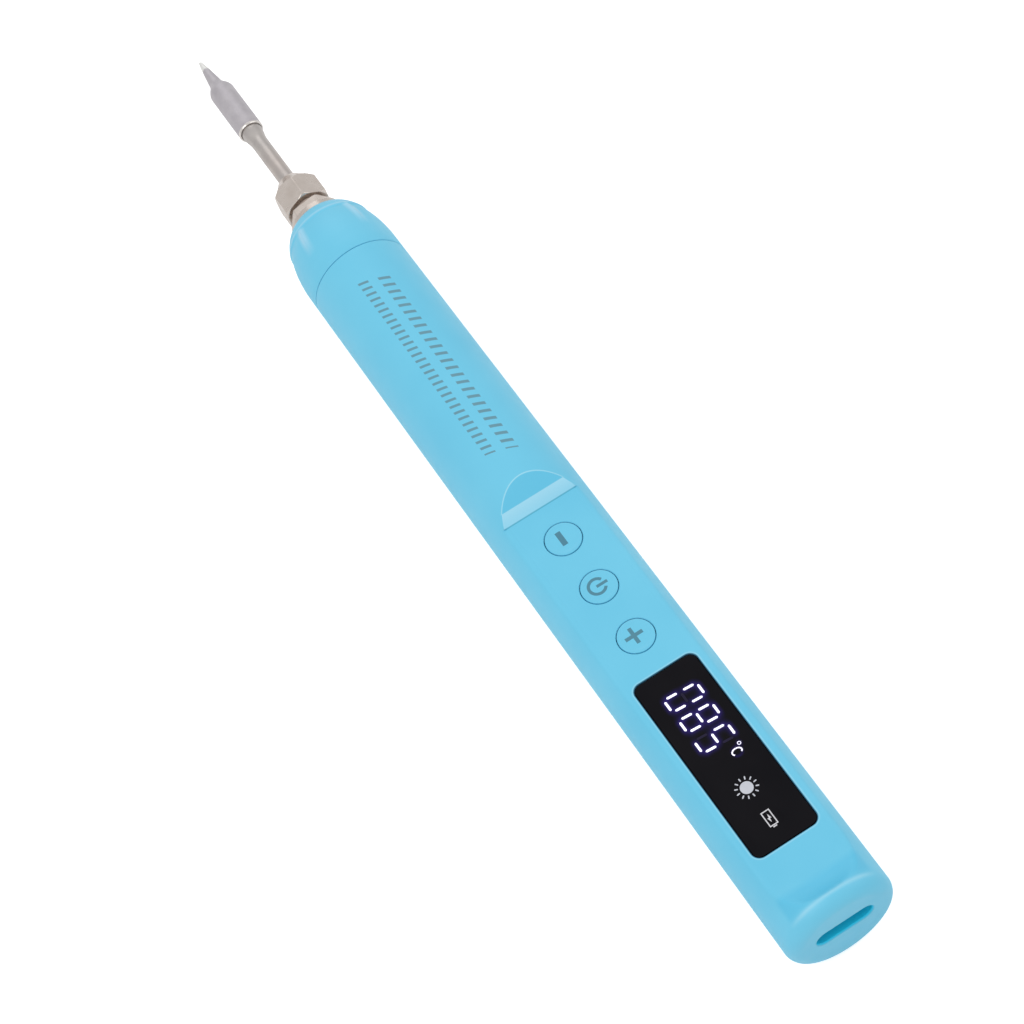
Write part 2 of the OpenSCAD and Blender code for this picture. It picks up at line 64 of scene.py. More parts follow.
def span(node):  # first and last station of a node
    low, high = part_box(node)
    return (low.x - tipX) / mm, (high.x - tipX) / mm


def rise(node):  # lowest and highest point of a node above the axis
    low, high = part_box(node)
    return (low.z - axisZ) / mm, (high.z - axisZ) / mm


def middle(node):
    return sum(span(node)) / 2


def arcPoints(x, r, radius, steps):  # rounded rear edge as (station, radius) points
    return [(x + radius * math.sin(math.pi / 2 * i / steps), r + radius * math.cos(math.pi / 2 * i / steps))
            for i in range(steps + 1)]


# ---- modelling tools ----

def deselect():
    if bpy.context.mode != "OBJECT":
        bpy.ops.object.mode_set(mode="OBJECT")
    bpy.ops.object.select_all(action="DESELECT")


def pick(piece):
    deselect()
    piece.select_set(True)
    bpy.context.view_layer.objects.active = piece


def edit(piece):
    pick(piece)
    bpy.ops.object.mode_set(mode="EDIT")
    bpy.ops.mesh.select_all(action="SELECT")


def leaveEdit():
    bpy.ops.object.mode_set(mode="OBJECT")


def closeUp(piece):  # turns the faces outward and leaves edit mode
    bpy.ops.mesh.select_all(action="SELECT")
    bpy.ops.mesh.normals_make_consistent(inside=False)
    leaveEdit()
    return piece


def named(name):  # the primitive just added, with its place and size applied
    piece = bpy.context.object
    piece.name = piece.data.name = name
    bpy.ops.object.transform_apply(location=True, rotation=True, scale=True)
    return piece


def drawLine(name, points):  # one vertex drawn out from point to point, left in edit mode
    deselect()
    bpy.ops.mesh.primitive_plane_add(size=mm, location=points[0])
    piece = named(name)
    bpy.ops.object.mode_set(mode="EDIT")
    bpy.ops.mesh.select_mode(type="VERT")
    bpy.ops.mesh.select_all(action="SELECT")
    bpy.ops.mesh.merge(type="CENTER")
    for before, after in zip(points, points[1:]):
        bpy.ops.mesh.extrude_region_move(TRANSFORM_OT_translate={"value": after - before})
    return piece


def weld(threshold=0.001):
    bpy.ops.mesh.select_all(action="SELECT")
    bpy.ops.mesh.remove_doubles(threshold=threshold * mm)


def filled(name, points):  # a closed outline with a face across it
    piece = drawLine(name, list(points) + [points[0]])
    weld()
    bpy.ops.mesh.edge_face_add()
    return piece


def extruded(name, points, depth):  # a filled outline pulled out along a vector
    piece = filled(name, points)
    bpy.ops.mesh.extrude_region_move(TRANSFORM_OT_translate={"value": depth})
    return closeUp(piece)


def flared(name, points, shaft, rim, wider):  # an opening's cutter: a straight shaft that widens at the rim
    piece = filled(name, points)
    for move, scale in ((shaft, (1, 1, 1)), (rim, wider), (Vector(rim).normalized(), (1, 1, 1))):
        bpy.ops.mesh.extrude_region_move(TRANSFORM_OT_translate={"value": Vector(move) * mm})
        bpy.ops.transform.resize(value=scale)
    return closeUp(piece)


def turned(name, profile, arcs=((360, 96),)):  # a closed (station, radius) profile spun round the axis
    closed = list(profile) if profile[0][1] == 0 and profile[-1][1] == 0 else list(profile) + [profile[0]]
    piece = drawLine(name, [place(x, 0, -r) for x, r in closed])
    if closed[0] == closed[-1]:
        weld()
    bpy.ops.mesh.select_all(action="SELECT")
    for angle, steps in arcs:
        bpy.ops.mesh.spin(steps=steps, angle=math.radians(angle), center=place(0), axis=(1, 0, 0))
    weld(0.002)
    return closeUp(piece)


def useModifier(piece, kind, **settings):
    pick(piece)
    bpy.ops.object.modifier_add(type=kind)
    modifier = piece.modifiers[-1]
    for key, value in settings.items():
        setattr(modifier, key, value)
    bpy.ops.object.modifier_apply(modifier=modifier.name)


def combine(piece, other, how="DIFFERENCE"):
    useModifier(piece, "BOOLEAN", operation=how, object=other, solver="EXACT")
    bpy.data.objects.remove(other)
    edit(piece)
    weld(0.002)
    bpy.ops.mesh.dissolve_degenerate(threshold=0.001 * mm)
    leaveEdit()


def chooseEdges(piece, test):  # test gets (station, side, height) of the edge's middle and its face angle
    pick(piece)
    bpy.ops.object.mode_set(mode="EDIT")
    bpy.ops.mesh.select_mode(type="EDGE")
    bpy.ops.mesh.select_all(action="DESELECT")
    mesh = bmesh.from_edit_mesh(piece.data)
    for edge in mesh.edges:
        if len(edge.link_faces) == 2:
            centre = (edge.verts[0].co + edge.verts[1].co) / 2
            where = ((centre.x - tipX) / mm, centre.y / mm, (centre.z - axisZ) / mm)
            if test(where, math.degrees(edge.calc_face_angle(0))):
                edge.select_set(True)
    bmesh.update_edit_mesh(piece.data)


def bevelEdges(piece, width, steps, test):
    chooseEdges(piece, test)
    bpy.ops.mesh.bevel(offset=width * mm, segments=steps, profile=0.5, affect="EDGES", clamp_overlap=False)
    weld(0.002)
    leaveEdit()


def smooth(piece, angle=35, weighted=True):
    pick(piece)
    bpy.ops.object.shade_smooth_by_angle(angle=math.radians(angle))
    if weighted:
        useModifier(piece, "WEIGHTED_NORMAL", keep_sharp=True, weight=60)


def cylinder(name, radius, start, end, sides=64, turn=0.0):  # round or hexagonal bar along the pen
    deselect()
    bpy.ops.mesh.primitive_cylinder_add(vertices=sides, radius=radius * mm, depth=(end - start) * mm,
                                        location=place((start + end) / 2), rotation=(0, math.pi / 2, 0))
    bar = named(name)
    edit(bar)
    bpy.ops.transform.rotate(value=-math.radians(turn), orient_axis="X", center_override=place(0))
    leaveEdit()
    return bar


def block(name, start, end, width, low, high):
    deselect()
    bpy.ops.mesh.primitive_cube_add(size=1, location=place((start + end) / 2, 0, (low + high) / 2),
                                    scale=((end - start) * mm, width * mm, (high - low) * mm))
    return named(name)


def joinPieces(name, parts):
    deselect()
    for part in parts:
        part.select_set(True)
    bpy.context.view_layer.objects.active = parts[0]
    if len(parts) > 1:
        bpy.ops.object.join()
    parts[0].name = parts[0].data.name = name
    return parts[0]


def keep(piece, body, slot, material, *nodes):  # hands a finished piece to its body
    piece.data.materials.clear()
    piece.data.materials.append(material)
    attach(piece, body)
    if nodes:
        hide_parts(*nodes)
    return piece


# ---- finishes ----

def newGroup(name, inputs, outputs):
    group = bpy.data.node_groups.new(name, "ShaderNodeTree")
    for label, kind, value in inputs:
        socket = group.interface.new_socket(name=label, in_out="INPUT", socket_type=kind)
        if value is not None:
            socket.default_value = value
    for label, kind in outputs:
        group.interface.new_socket(name=label, in_out="OUTPUT", socket_type=kind)
    return group, group.nodes.new("NodeGroupInput"), group.nodes.new("NodeGroupOutput")


def addNode(tree, kind, inputs=None, **settings):  # an input is a value or another node's output
    node = tree.nodes.new(kind)
    for key, value in settings.items():
        setattr(node, key, value)
    for key, value in (inputs or {}).items():
        if isinstance(value, bpy.types.NodeSocket):
            tree.links.new(value, node.inputs[key])
        else:
            node.inputs[key].default_value = value
    return node


def maths(tree, operation, first, second=0.0, third=0.0):
    return addNode(tree, "ShaderNodeMath", {0: first, 1: second, 2: third}, operation=operation).outputs[0]


def times(tree, first, second):
    return maths(tree, "MULTIPLY", first, second)


def blendColours(tree, factor, first, second):
    mix = addNode(tree, "ShaderNodeMix", {"Factor": factor}, data_type="RGBA")
    for socket, colour in ((mix.inputs[6], first), (mix.inputs[7], second)):
        if isinstance(colour, bpy.types.NodeSocket):
            tree.links.new(colour, socket)
        else:
            socket.default_value = (*colour, 1)
    return mix.outputs[2]


def remap(tree, value, low, high, start=0.0, end=1.0):
    node = addNode(tree, "ShaderNodeMapRange", {"Value": value, "From Min": start, "From Max": end,
                                                "To Min": low, "To Max": high})
    return node.outputs["Result"]


# moulded surface: fine spark-eroded grain, slow change of tone and of gloss
mouldedGrain, groupIn, groupOut = newGroup(
    "mouldedGrain",
    [("Vector", "NodeSocketVector", None), ("Grain Scale", "NodeSocketFloat", 4000.0),
     ("Tone Scale", "NodeSocketFloat", 90.0)],
    [("Height", "NodeSocketFloat"), ("Tone", "NodeSocketFloat"), ("Gloss", "NodeSocketFloat")])
grainNoise = addNode(mouldedGrain, "ShaderNodeTexNoise", {"Vector": groupIn.outputs["Vector"],
                     "Scale": groupIn.outputs["Grain Scale"], "Detail": 2.0, "Roughness": 0.6})
toneNoise = addNode(mouldedGrain, "ShaderNodeTexNoise", {"Vector": groupIn.outputs["Vector"],
                    "Scale": groupIn.outputs["Tone Scale"], "Detail": 3.0, "Roughness": 0.5})
glossNoise = addNode(mouldedGrain, "ShaderNodeTexNoise", {
    "Vector": groupIn.outputs["Vector"],
    "Scale": maths(mouldedGrain, "MULTIPLY", groupIn.outputs["Tone Scale"], 7.0), "Detail": 4.0})
mouldedGrain.links.new(grainNoise.outputs[0], groupOut.inputs["Height"])
mouldedGrain.links.new(toneNoise.outputs[0], groupOut.inputs["Tone"])
mouldedGrain.links.new(glossNoise.outputs[0], groupOut.inputs["Gloss"])

# turned or drawn metal: lines that run round the pen or along it, with small pits
turnedMarks, groupIn, groupOut = newGroup(
    "turnedMarks",
    [("Vector", "NodeSocketVector", None), ("Along", "NodeSocketFloat", 6000.0),
     ("Across", "NodeSocketFloat", 200.0)],
    [("Height", "NodeSocketFloat"), ("Tone", "NodeSocketFloat"), ("Gloss", "NodeSocketFloat")])
axes = addNode(turnedMarks, "ShaderNodeSeparateXYZ", {0: groupIn.outputs["Vector"]})
stretched = addNode(turnedMarks, "ShaderNodeCombineXYZ", {
    "X": maths(turnedMarks, "MULTIPLY", axes.outputs["X"], groupIn.outputs["Along"]),
    "Y": maths(turnedMarks, "MULTIPLY", axes.outputs["Y"], groupIn.outputs["Across"]),
    "Z": maths(turnedMarks, "MULTIPLY", axes.outputs["Z"], groupIn.outputs["Across"])})
lineNoise = addNode(turnedMarks, "ShaderNodeTexNoise", {"Vector": stretched.outputs[0], "Scale": 1.0,
                    "Detail": 3.0, "Roughness": 0.6})
stainNoise = addNode(turnedMarks, "ShaderNodeTexNoise", {"Vector": groupIn.outputs["Vector"], "Scale": 420.0,
                     "Detail": 4.0, "Roughness": 0.6})
turnedMarks.links.new(lineNoise.outputs[0], groupOut.inputs["Height"])
turnedMarks.links.new(stainNoise.outputs[0], groupOut.inputs["Tone"])
turnedMarks.links.new(maths(turnedMarks, "MULTIPLY", lineNoise.outputs[0], stainNoise.outputs[0]),
                      groupOut.inputs["Gloss"])


def finish(name, look):  # one material: two tones mixed by the group, with its own gloss and bump
    material = bpy.data.materials.new(name)
    material.use_nodes = True
    tree = material.node_tree
    shader = tree.nodes["Principled BSDF"]
    coords = addNode(tree, "ShaderNodeTexCoord").outputs["Object"]
    effect = tree.nodes.new("ShaderNodeGroup")
    effect.node_tree = turnedMarks if look.get("marks") == "turned" else mouldedGrain
    tree.links.new(coords, effect.inputs["Vector"])
    for socket in ("Grain Scale", "Tone Scale", "Along", "Across"):
        if socket in look:
            effect.inputs[socket].default_value = look[socket]
    tone = remap(tree, effect.outputs["Tone"], 0.0, 1.0, 0.3, 0.7)
    colour = blendColours(tree, tone, look["tones"][0], look["tones"][1])
    tree.links.new(colour, shader.inputs["Base Color"])
    gloss = remap(tree, effect.outputs["Gloss"], *look["rough"], *look.get("glossRange", (0.3, 0.7)))
    tree.links.new(gloss, shader.inputs["Roughness"])
    bump = addNode(tree, "ShaderNodeBump", {"Height": effect.outputs["Height"], "Strength": look.get("bump", 0.1),
                                            "Distance": look.get("depth", 0.00002)})
    tree.links.new(bump.outputs[0], shader.inputs["Normal"])
    shader.inputs["Metallic"].default_value = look.get("metal", 0.0)
    shader.inputs["Coat Weight"].default_value = look.get("coat", 0.0)
    shader.inputs["Coat Roughness"].default_value = look.get("coatRough", 0.1)
    shader.inputs["Specular IOR Level"].default_value = look.get("specular", 0.5)
    return material, tree, shader, colour, coords


def within(tree, value, low, high, soft):  # 1 between two values, with soft ends
    up = remap(tree, value, 0.0, 1.0, low - soft, low + soft)
    down = remap(tree, value, 1.0, 0.0, high - soft, high + soft)
    return times(tree, up, down)


# ---- barrel ----

minusX, powerX, plusX = (middle("button_" + key) for key in ("minus", "power", "plus"))
windowStart, windowEnd = span("display_window")
barrel = {
    "front": span("barrel_shell")[0], "seam": span("nose_collar")[1] + 0.12, "rear": span("barrel_shell")[1],
    "spigot": 8.0, "spigotBore": 7.3, "bore": 7.5, "threadDepth": 0.28, "threadPitch": 1.5,
    "flat": rise("display_window")[1] + 0.05, "ceiling": 4.3, "lowBore": 117.0, "rearWall": 2.0,
    "crease": minusX - 6.9, "bandHeight": 0.95, "bandSlope": 24.5, "stepSlope": 32.0,
    "riseTop": 2.3, "riseMiddle": 6.5, "riseBow": 2.7, "risePower": 2.2, "riseLip": 0.1, "rearFillet": 2.2,
    "soft": 0.6, "stepEdge": 0.1, "rings": 34, "sides": 240,
    "hole": 3.05, "holeEdge": 0.1,
    "recessEdge": 0.09, "recessLow": rise("display_window")[0] - 0.02, "recessGap": 0.1,
    "windowWidth": 10.7, "windowCorner": 1.3, "ledge": 0.8,
    "slotWidth": 9.4, "slotHeight": 3.3, "slotZ": 0.9, "slotEdge": 0.3,
}


def stadium(width, height, centreZ, station, steps=10):  # port outline across the pen
    half, radius = (width - height) / 2, height / 2
    return [place(station, side * half + radius * math.cos(math.radians(start + 180 * i / steps)),
                  centreZ + radius * math.sin(math.radians(start + 180 * i / steps)))
            for side, start in ((1, -90), (-1, 90)) for i in range(steps + 1)]


def roundPlate(start, end, width, corner, height, steps=6):  # rounded rectangle seen from above
    corners = [(end - corner, width / 2 - corner, 0), (start + corner, width / 2 - corner, 90),
               (start + corner, corner - width / 2, 180), (end - corner, corner - width / 2, 270)]
    return [place(x + corner * math.cos(math.radians(turn + 90 * i / steps)),
                  y + corner * math.sin(math.radians(turn + 90 * i / steps)), height)
            for x, y, turn in corners for i in range(steps + 1)]


def flatHeight(x, y):  # height of the control flat and of the hollow rise behind it
    size = barrel
    top = size["rear"] - size["riseTop"]
    start = size["rear"] - size["riseMiddle"] - size["riseBow"] * (y / 6) ** 2
    along = max(x - start, 0) / (top - start)
    return size["flat"] + (barrelRadius - size["flat"]) * (
        size["riseLip"] * along + (1 - size["riseLip"]) * along ** size["risePower"])


def softMinimum(first, second, soft):
    overlap = max(soft - abs(first - second), 0) / soft
    return min(first, second) - overlap * overlap * soft / 4


def pressIn(piece, newRadius):  # moves the outside of a turned piece to newRadius(station, side, height, radius)
    for vertex in piece.data.vertices:
        side, height = vertex.co.y / mm, (vertex.co.z - axisZ) / mm
        radius = math.hypot(side, height)
        wanted = newRadius((vertex.co.x - tipX) / mm, side, height, radius)
        if wanted is not None and radius > 0:
            vertex.co.y *= wanted / radius
            vertex.co.z = axisZ + (vertex.co.z - axisZ) * wanted / radius


def makeBarrel():
    size = barrel
    rootRadius = size["spigot"] - size["threadDepth"]
    thread = []
    station = size["front"] + 0.45
    while station + 0.9 < size["seam"] - 0.3:  # low round ridges on the screwed spigot
        thread += [(station, rootRadius), (station + 0.35, size["spigot"]), (station + 0.55, size["spigot"]),
                   (station + 0.9, rootRadius)]
        station += size["threadPitch"]
    fillet, rear, crease = size["rearFillet"], size["rear"], size["crease"]
    riseFront = rear - size["riseMiddle"] - size["riseBow"] - 0.5
    riseRings = [riseFront + (rear - fillet - riseFront) * i / size["rings"] for i in range(size["rings"])]
    profile = [(size["front"], 0), (size["front"], size["spigot"] - 0.5), (size["front"] + 0.2, rootRadius)]
    profile += thread + [(size["seam"], rootRadius), (size["seam"], barrelRadius - 0.12),
                         (size["seam"] + 0.035, barrelRadius - 0.035), (size["seam"] + 0.12, barrelRadius),
                         (crease - 0.02, barrelRadius), (crease, barrelRadius)]
    profile += [(x, barrelRadius) for x in riseRings] + arcPoints(rear - fillet, barrelRadius - fillet, fillet, 12)
    profile += [(rear, 4.6), (rear, 0)]
    shell = turned("barrelShell", profile, ((360, size["sides"]),))

    def pressed(x, y, z, radius):
        if x < crease - 0.005 or z < 3 or x > rear - 0.3:
            return None
        return softMinimum(radius, flatHeight(x, y) * radius / z, size["soft"])

    pressIn(shell, pressed)

    # the ramp and the narrow band in front of the flat
    bandTop = size["flat"] + size["bandHeight"]
    bandX = crease - size["bandHeight"] / math.tan(math.radians(size["bandSlope"]))
    archX = bandX - (barrelRadius - bandTop) / math.tan(math.radians(size["stepSlope"]))
    reach = 4
    outline = [(archX - reach / math.tan(math.radians(size["stepSlope"])), barrelRadius + reach),
               (bandX, bandTop), (crease + 0.003, size["flat"] - 0.003), (crease + 0.003, barrelRadius + reach)]
    combine(shell, extruded("stepCutter", [place(x, -barrelRadius - 1, z) for x, z in outline],
                            Vector((0, (2 * barrelRadius + 2) * mm, 0))))
    bevelEdges(shell, size["stepEdge"], 2, lambda where, angle: angle > 9 and where[2] > size["flat"] + 0.1
               and archX - 0.5 < where[0] < crease - 0.05 and math.hypot(where[1], where[2]) > barrelRadius - 0.1)

    # the flat is one face before the openings go in, and each opening's cutter widens at the rim
    chooseEdges(shell, lambda where, angle: abs(where[2] - size["flat"]) < 0.004 and angle < 0.5
                and where[0] > crease)
    bpy.ops.mesh.dissolve_edges(use_verts=False)
    leaveEdit()
    low, edge, flat = size["ceiling"] - 1, size["holeEdge"], size["flat"]
    for station in (minusX, powerX, plusX):
        circle = [place(station + size["hole"] * math.cos(math.tau * i / 72),
                        size["hole"] * math.sin(math.tau * i / 72), low) for i in range(72)]
        wider = (size["hole"] + edge) / size["hole"]
        combine(shell, flared("holeCutter", circle, (0, 0, flat - edge - low), (0, 0, edge), (wider, wider, 1)))
    gap, edge = size["recessGap"], size["recessEdge"]
    length, width = windowEnd - windowStart + 2 * gap, size["windowWidth"] + 2 * gap
    combine(shell, flared("recessCutter", roundPlate(windowStart - gap, windowEnd + gap, width,
                                                     size["windowCorner"] + gap, size["recessLow"]),
                          (0, 0, flat - edge - size["recessLow"]), (0, 0, edge),
                          (1 + 2 * edge / length, 1 + 2 * edge / width, 1)))
    edge = size["slotEdge"]
    combine(shell, flared("slotCutter", stadium(size["slotWidth"], size["slotHeight"], size["slotZ"],
                                                rear - size["rearWall"] - 1),
                          (size["rearWall"] + 1 - edge, 0, 0), (edge, 0, 0),
                          (1, 1 + 1.4 * edge / size["slotWidth"], 1 + 1.4 * edge / size["slotHeight"])))

    # hollow inside, full round in front and below the flat behind
    combine(shell, turned("boreCutter", [(size["front"] - 1, 0), (size["front"] - 1, size["spigotBore"]),
                                         (size["seam"] + 1, size["spigotBore"]), (size["seam"] + 1, size["bore"]),
                                         (size["lowBore"], size["bore"]), (size["lowBore"], 0)]))
    rearBore = cylinder("rearBore", size["bore"], size["lowBore"] - 1, size["rear"] - size["rearWall"], 96)
    edit(rearBore)
    bpy.ops.mesh.bisect(plane_co=place(0, 0, size["ceiling"]), plane_no=(0, 0, 1), use_fill=True, clear_outer=True)
    leaveEdit()
    combine(shell, rearBore)
    combine(shell, block("lensOpening", windowStart + size["ledge"], windowEnd - size["ledge"],
                         size["windowWidth"] - 2 * size["ledge"], size["ceiling"] - 0.5, size["recessLow"] + 0.3))
    smooth(shell, 32)
    return shell, archX, bandX


bodyLook = {"tones": [(0.135, 0.545, 0.765), (0.155, 0.575, 0.79)], "rough": (0.36, 0.46), "Grain Scale": 5200.0,
            "bump": 0.10, "depth": 0.00002, "specular": 0.42, "Tone Scale": 60.0}
printLook = {"colour": (0.115, 0.235, 0.29), "start": 71.0, "end": 113.5, "rows": ((1.75, 0.95), (-1.6, 0.85)),
             "pitch": 1.75, "duty": 0.36, "lean": 0.35}


def printMask(tree, coords):  # two rows of plain slanted ticks, a maker's scale without letters
    x, y, z = addNode(tree, "ShaderNodeSeparateXYZ", {0: coords}).outputs
    leaning = maths(tree, "MULTIPLY_ADD", y, -printLook["lean"],
                    maths(tree, "SUBTRACT", x, alongX(printLook["start"])))
    mask = None
    for (centre, half), pitch in zip(printLook["rows"], (printLook["pitch"], printLook["pitch"] * 0.8)):
        row = within(tree, y, (centre - half) * mm, (centre + half) * mm, 0.00003)
        phase = maths(tree, "FRACT", times(tree, leaning, 1 / (pitch * mm)))
        ticks = within(tree, phase, 0.12, 0.12 + printLook["duty"], 0.03)
        row = times(tree, row, ticks)
        mask = row if mask is None else maths(tree, "ADD", mask, row)
    along = within(tree, leaning, 0.0, (printLook["end"] - printLook["start"]) * mm, 0.00001)
    above = maths(tree, "GREATER_THAN", z, axisZ)
    return times(tree, times(tree, mask, along), above)


barrelShell, archX, bandX = makeBarrel()
bodyPlastic, tree, shader, bodyColour, coords = finish("bodyPlastic", bodyLook)
stepX, stepY, stepZ = addNode(tree, "ShaderNodeSeparateXYZ", {0: coords}).outputs


def overPlane(x, z, slope):  # height above a plane that falls towards the rear, in metres
    onPlane = maths(tree, "MULTIPLY_ADD", stepX, -math.tan(math.radians(slope)),
                    aboveZ(z) + alongX(x) * math.tan(math.radians(slope)))
    return maths(tree, "SUBTRACT", stepZ, onPlane)


overRamp = overPlane(bandX, barrel["flat"] + barrel["bandHeight"], barrel["stepSlope"])
overBand = overPlane(barrel["crease"], barrel["flat"], barrel["bandSlope"])
aboveFlat = maths(tree, "GREATER_THAN", stepZ, aboveZ(barrel["flat"] + 0.01))
inFront = maths(tree, "LESS_THAN", stepX, alongX(bandX))
# painted shade: the steep ramp in front of the flat is tinted darker and deeper blue
rampShade = times(tree, inFront, within(tree, overRamp, -0.00002, 0.0002, 0.00001))
# painted highlight: a light strip along the arch where the ramp meets the round barrel
archHighlight = times(tree, inFront, within(tree, overRamp, -0.00016, -0.00003, 0.00002))
archHighlight = times(tree, archHighlight, aboveFlat)
onBand = times(tree, within(tree, stepX, alongX(bandX), alongX(barrel["crease"]), 0.00004),
               within(tree, overBand, -0.00003, 0.0002, 0.00001))
# painted highlight: the narrow band before the flat is lightened, most at its upper edge
bandHighlight = times(tree, onBand, remap(tree, stepX, 0.5, 0.3, alongX(bandX), alongX(barrel["crease"])))
# painted shade: a thin dark line along the crease where the band meets the flat
creaseShade = times(tree, within(tree, stepX, alongX(barrel["crease"] - 0.1),
                 alongX(barrel["crease"] + 0.14), 0.00005), within(tree, overBand, -0.00006, 0.0001, 0.00002))
# painted bounce light: the walls inside the port slot are tinted a deeper, more saturated blue
slotBounceLight = times(tree, within(tree, stepX, alongX(barrel["rear"] - 3), alongX(barrel["rear"] - 0.12),
               0.00005), maths(tree, "LESS_THAN", addNode(tree, "ShaderNodeVectorMath", {
                   0: addNode(tree, "ShaderNodeCombineXYZ", {"Y": stepY, "Z": maths(tree, "SUBTRACT", stepZ, axisZ)}
                              ).outputs[0]}, operation="LENGTH").outputs["Value"], 0.0062))
# painted highlight: a light line along the rounded crest at the rear end of the hollow
crestHighlight = times(tree, within(tree, stepX, alongX(barrel["rear"] - 2.55), alongX(barrel["rear"] - 1.95),
                0.00025), remap(tree, stepZ, 0.0, 1.0, aboveZ(5.6), aboveZ(7.6)))
# painted shade: the hollow rise behind the flat is tinted darker and deeper blue
hollow = times(tree, within(tree, stepX, alongX(barrel["rear"] - 6.4), alongX(barrel["rear"] - 2.7),
               0.0006), remap(tree, stepZ, 0.0, 1.0, aboveZ(5.7), aboveZ(6.3)))
corner = barrel["windowCorner"]
overX = maths(tree, "ABSOLUTE", maths(tree, "SUBTRACT", stepX, alongX((windowStart + windowEnd) / 2)))
overX = maths(tree, "SUBTRACT", overX, ((windowEnd - windowStart) / 2 - corner) * mm)
overY = maths(tree, "SUBTRACT", maths(tree, "ABSOLUTE", stepY), (barrel["windowWidth"] / 2 - corner) * mm)
overX, overY = maths(tree, "MAXIMUM", overX, 0.0), maths(tree, "MAXIMUM", overY, 0.0)
fromWindow = maths(tree, "SQRT", maths(tree, "ADD", times(tree, overX, overX),
                                       times(tree, overY, overY)))
fromWindow = maths(tree, "SUBTRACT", fromWindow, corner * mm)
above = maths(tree, "GREATER_THAN", stepZ, aboveZ(4.5))
# painted shade: the narrow gap round the display window is tinted near black
windowGapShade = times(tree, remap(tree, fromWindow, 1.0, 0.0, 0.00017, 0.00026), above)
# painted highlight: a light ring on the rim round the display window
windowRimHighlight = times(tree, within(tree, fromWindow, 0.00026, 0.00045, 0.00008), above)
toned = bodyColour
# blends painted shade, painted highlights and painted bounce light into the body colour, then the printed ticks
for mask, amount, tone in (
        (rampShade, 0.6, (0.105, 0.53, 0.77)), (archHighlight, 0.45, (0.50, 0.80, 0.90)), (bandHighlight, 1.0, (0.54, 0.81, 0.93)),
        (creaseShade, 0.7, (0.04, 0.34, 0.50)), (crestHighlight, 0.32, (0.55, 0.82, 0.92)), (hollow, 0.55, (0.075, 0.49, 0.74)),
        (windowRimHighlight, 0.3, (0.50, 0.78, 0.88)), (windowGapShade, 0.85, (0.006, 0.045, 0.11)), (slotBounceLight, 0.95, (0.004, 0.58, 0.86)),
        (printMask(tree, coords), 0.85, printLook["colour"])):
    toned = blendColours(tree, times(tree, mask, amount), toned, tone)
tree.links.new(toned, shader.inputs["Base Color"])
keep(barrelShell, "handle", "body_plastic", bodyPlastic, "barrel_shell")
print("barrel done")

# ---- nose collar ----

collar = {
    "front": span("nose_collar")[0], "rear": span("nose_collar")[1], "frontRadius": 6.0, "curve": 12.0,
    "hole": 4.3, "wall": 2.2, "cavity": 5.6, "counterbore": 8.05, "counterboreStart": 58.2,
    "scoops": 5, "scoopDepth": 0.32, "scoopStart": 2.8, "scoopLength": 7.4, "land": 3.5, "lip": 0.9, "side": 6.0,
    "rings": 40, "sides": 360,
    "ridgeStart": 0.14, "ridgeEnd": 0.04, "fadeStart": 3.5, "fadeEnd": 7.4, "edgeLight": 0.6, "lipLight": 0.8,
}


def ease(value):  # 0 below 0, 1 above 1, smooth between
    value = min(max(value, 0), 1)
    return value * value * (3 - 2 * value)


def makeCollar():
    size = collar
    front, rear = size["front"], size["rear"]
    curveEnd = front + size["curve"]

    def outside(x):
        back = min(max(curveEnd - x, 0) / size["curve"], 1)
        return size["frontRadius"] + (barrelRadius - size["frontRadius"]) * (1 - back ** 3) ** 0.8

    steps = size["rings"]
    scoopX = front + size["scoopStart"]
    stations = [front + 0.25 + (size["curve"] - 0.25) * (i / steps) ** 1.4 for i in range(steps + 1)]
    stations += [scoopX + 0.1 * i for i in range(10)]
    profile = [(front, size["hole"] + 0.15), (front, outside(front + 0.25) - 0.5),
               (front + 0.05, outside(front + 0.25) - 0.22)]
    profile += [(x, outside(x)) for x in sorted(stations)]
    profile += [(rear - 0.12, barrelRadius), (rear - 0.03, barrelRadius - 0.04),
                (rear, barrelRadius - 0.14), (rear, size["counterbore"]),
                (size["counterboreStart"], size["counterbore"]), (size["counterboreStart"], size["cavity"]),
                (front + size["wall"], size["cavity"]), (front + size["wall"], size["hole"]),
                (front + 0.15, size["hole"])]
    piece = turned("noseCollar", profile, ((360, size["sides"]),))
    half = 180 / size["scoops"] - size["land"] / 2

    def scooped(x, y, z, radius):  # shallow finger scoops, one on top, that run out towards the barrel
        along = (x - scoopX) / size["scoopLength"]
        if not -0.05 < along < 1 or abs(radius - outside(x)) > 0.02:
            return None
        turn = math.degrees(math.atan2(y, z))
        away = abs((turn + 180 / size["scoops"]) % (360 / size["scoops"]) - 180 / size["scoops"])
        depth = size["scoopDepth"] * (1 - along) * ease((x - scoopX) / size["lip"])
        return radius - depth * ease((half - away) / size["side"] + 0.5)

    pressIn(piece, scooped)
    smooth(piece, 40)
    return piece


collarPlastic, tree, shader, collarColour, coords = finish("collarPlastic", bodyLook)
stepX, stepY, stepZ = addNode(tree, "ShaderNodeSeparateXYZ", {0: coords}).outputs
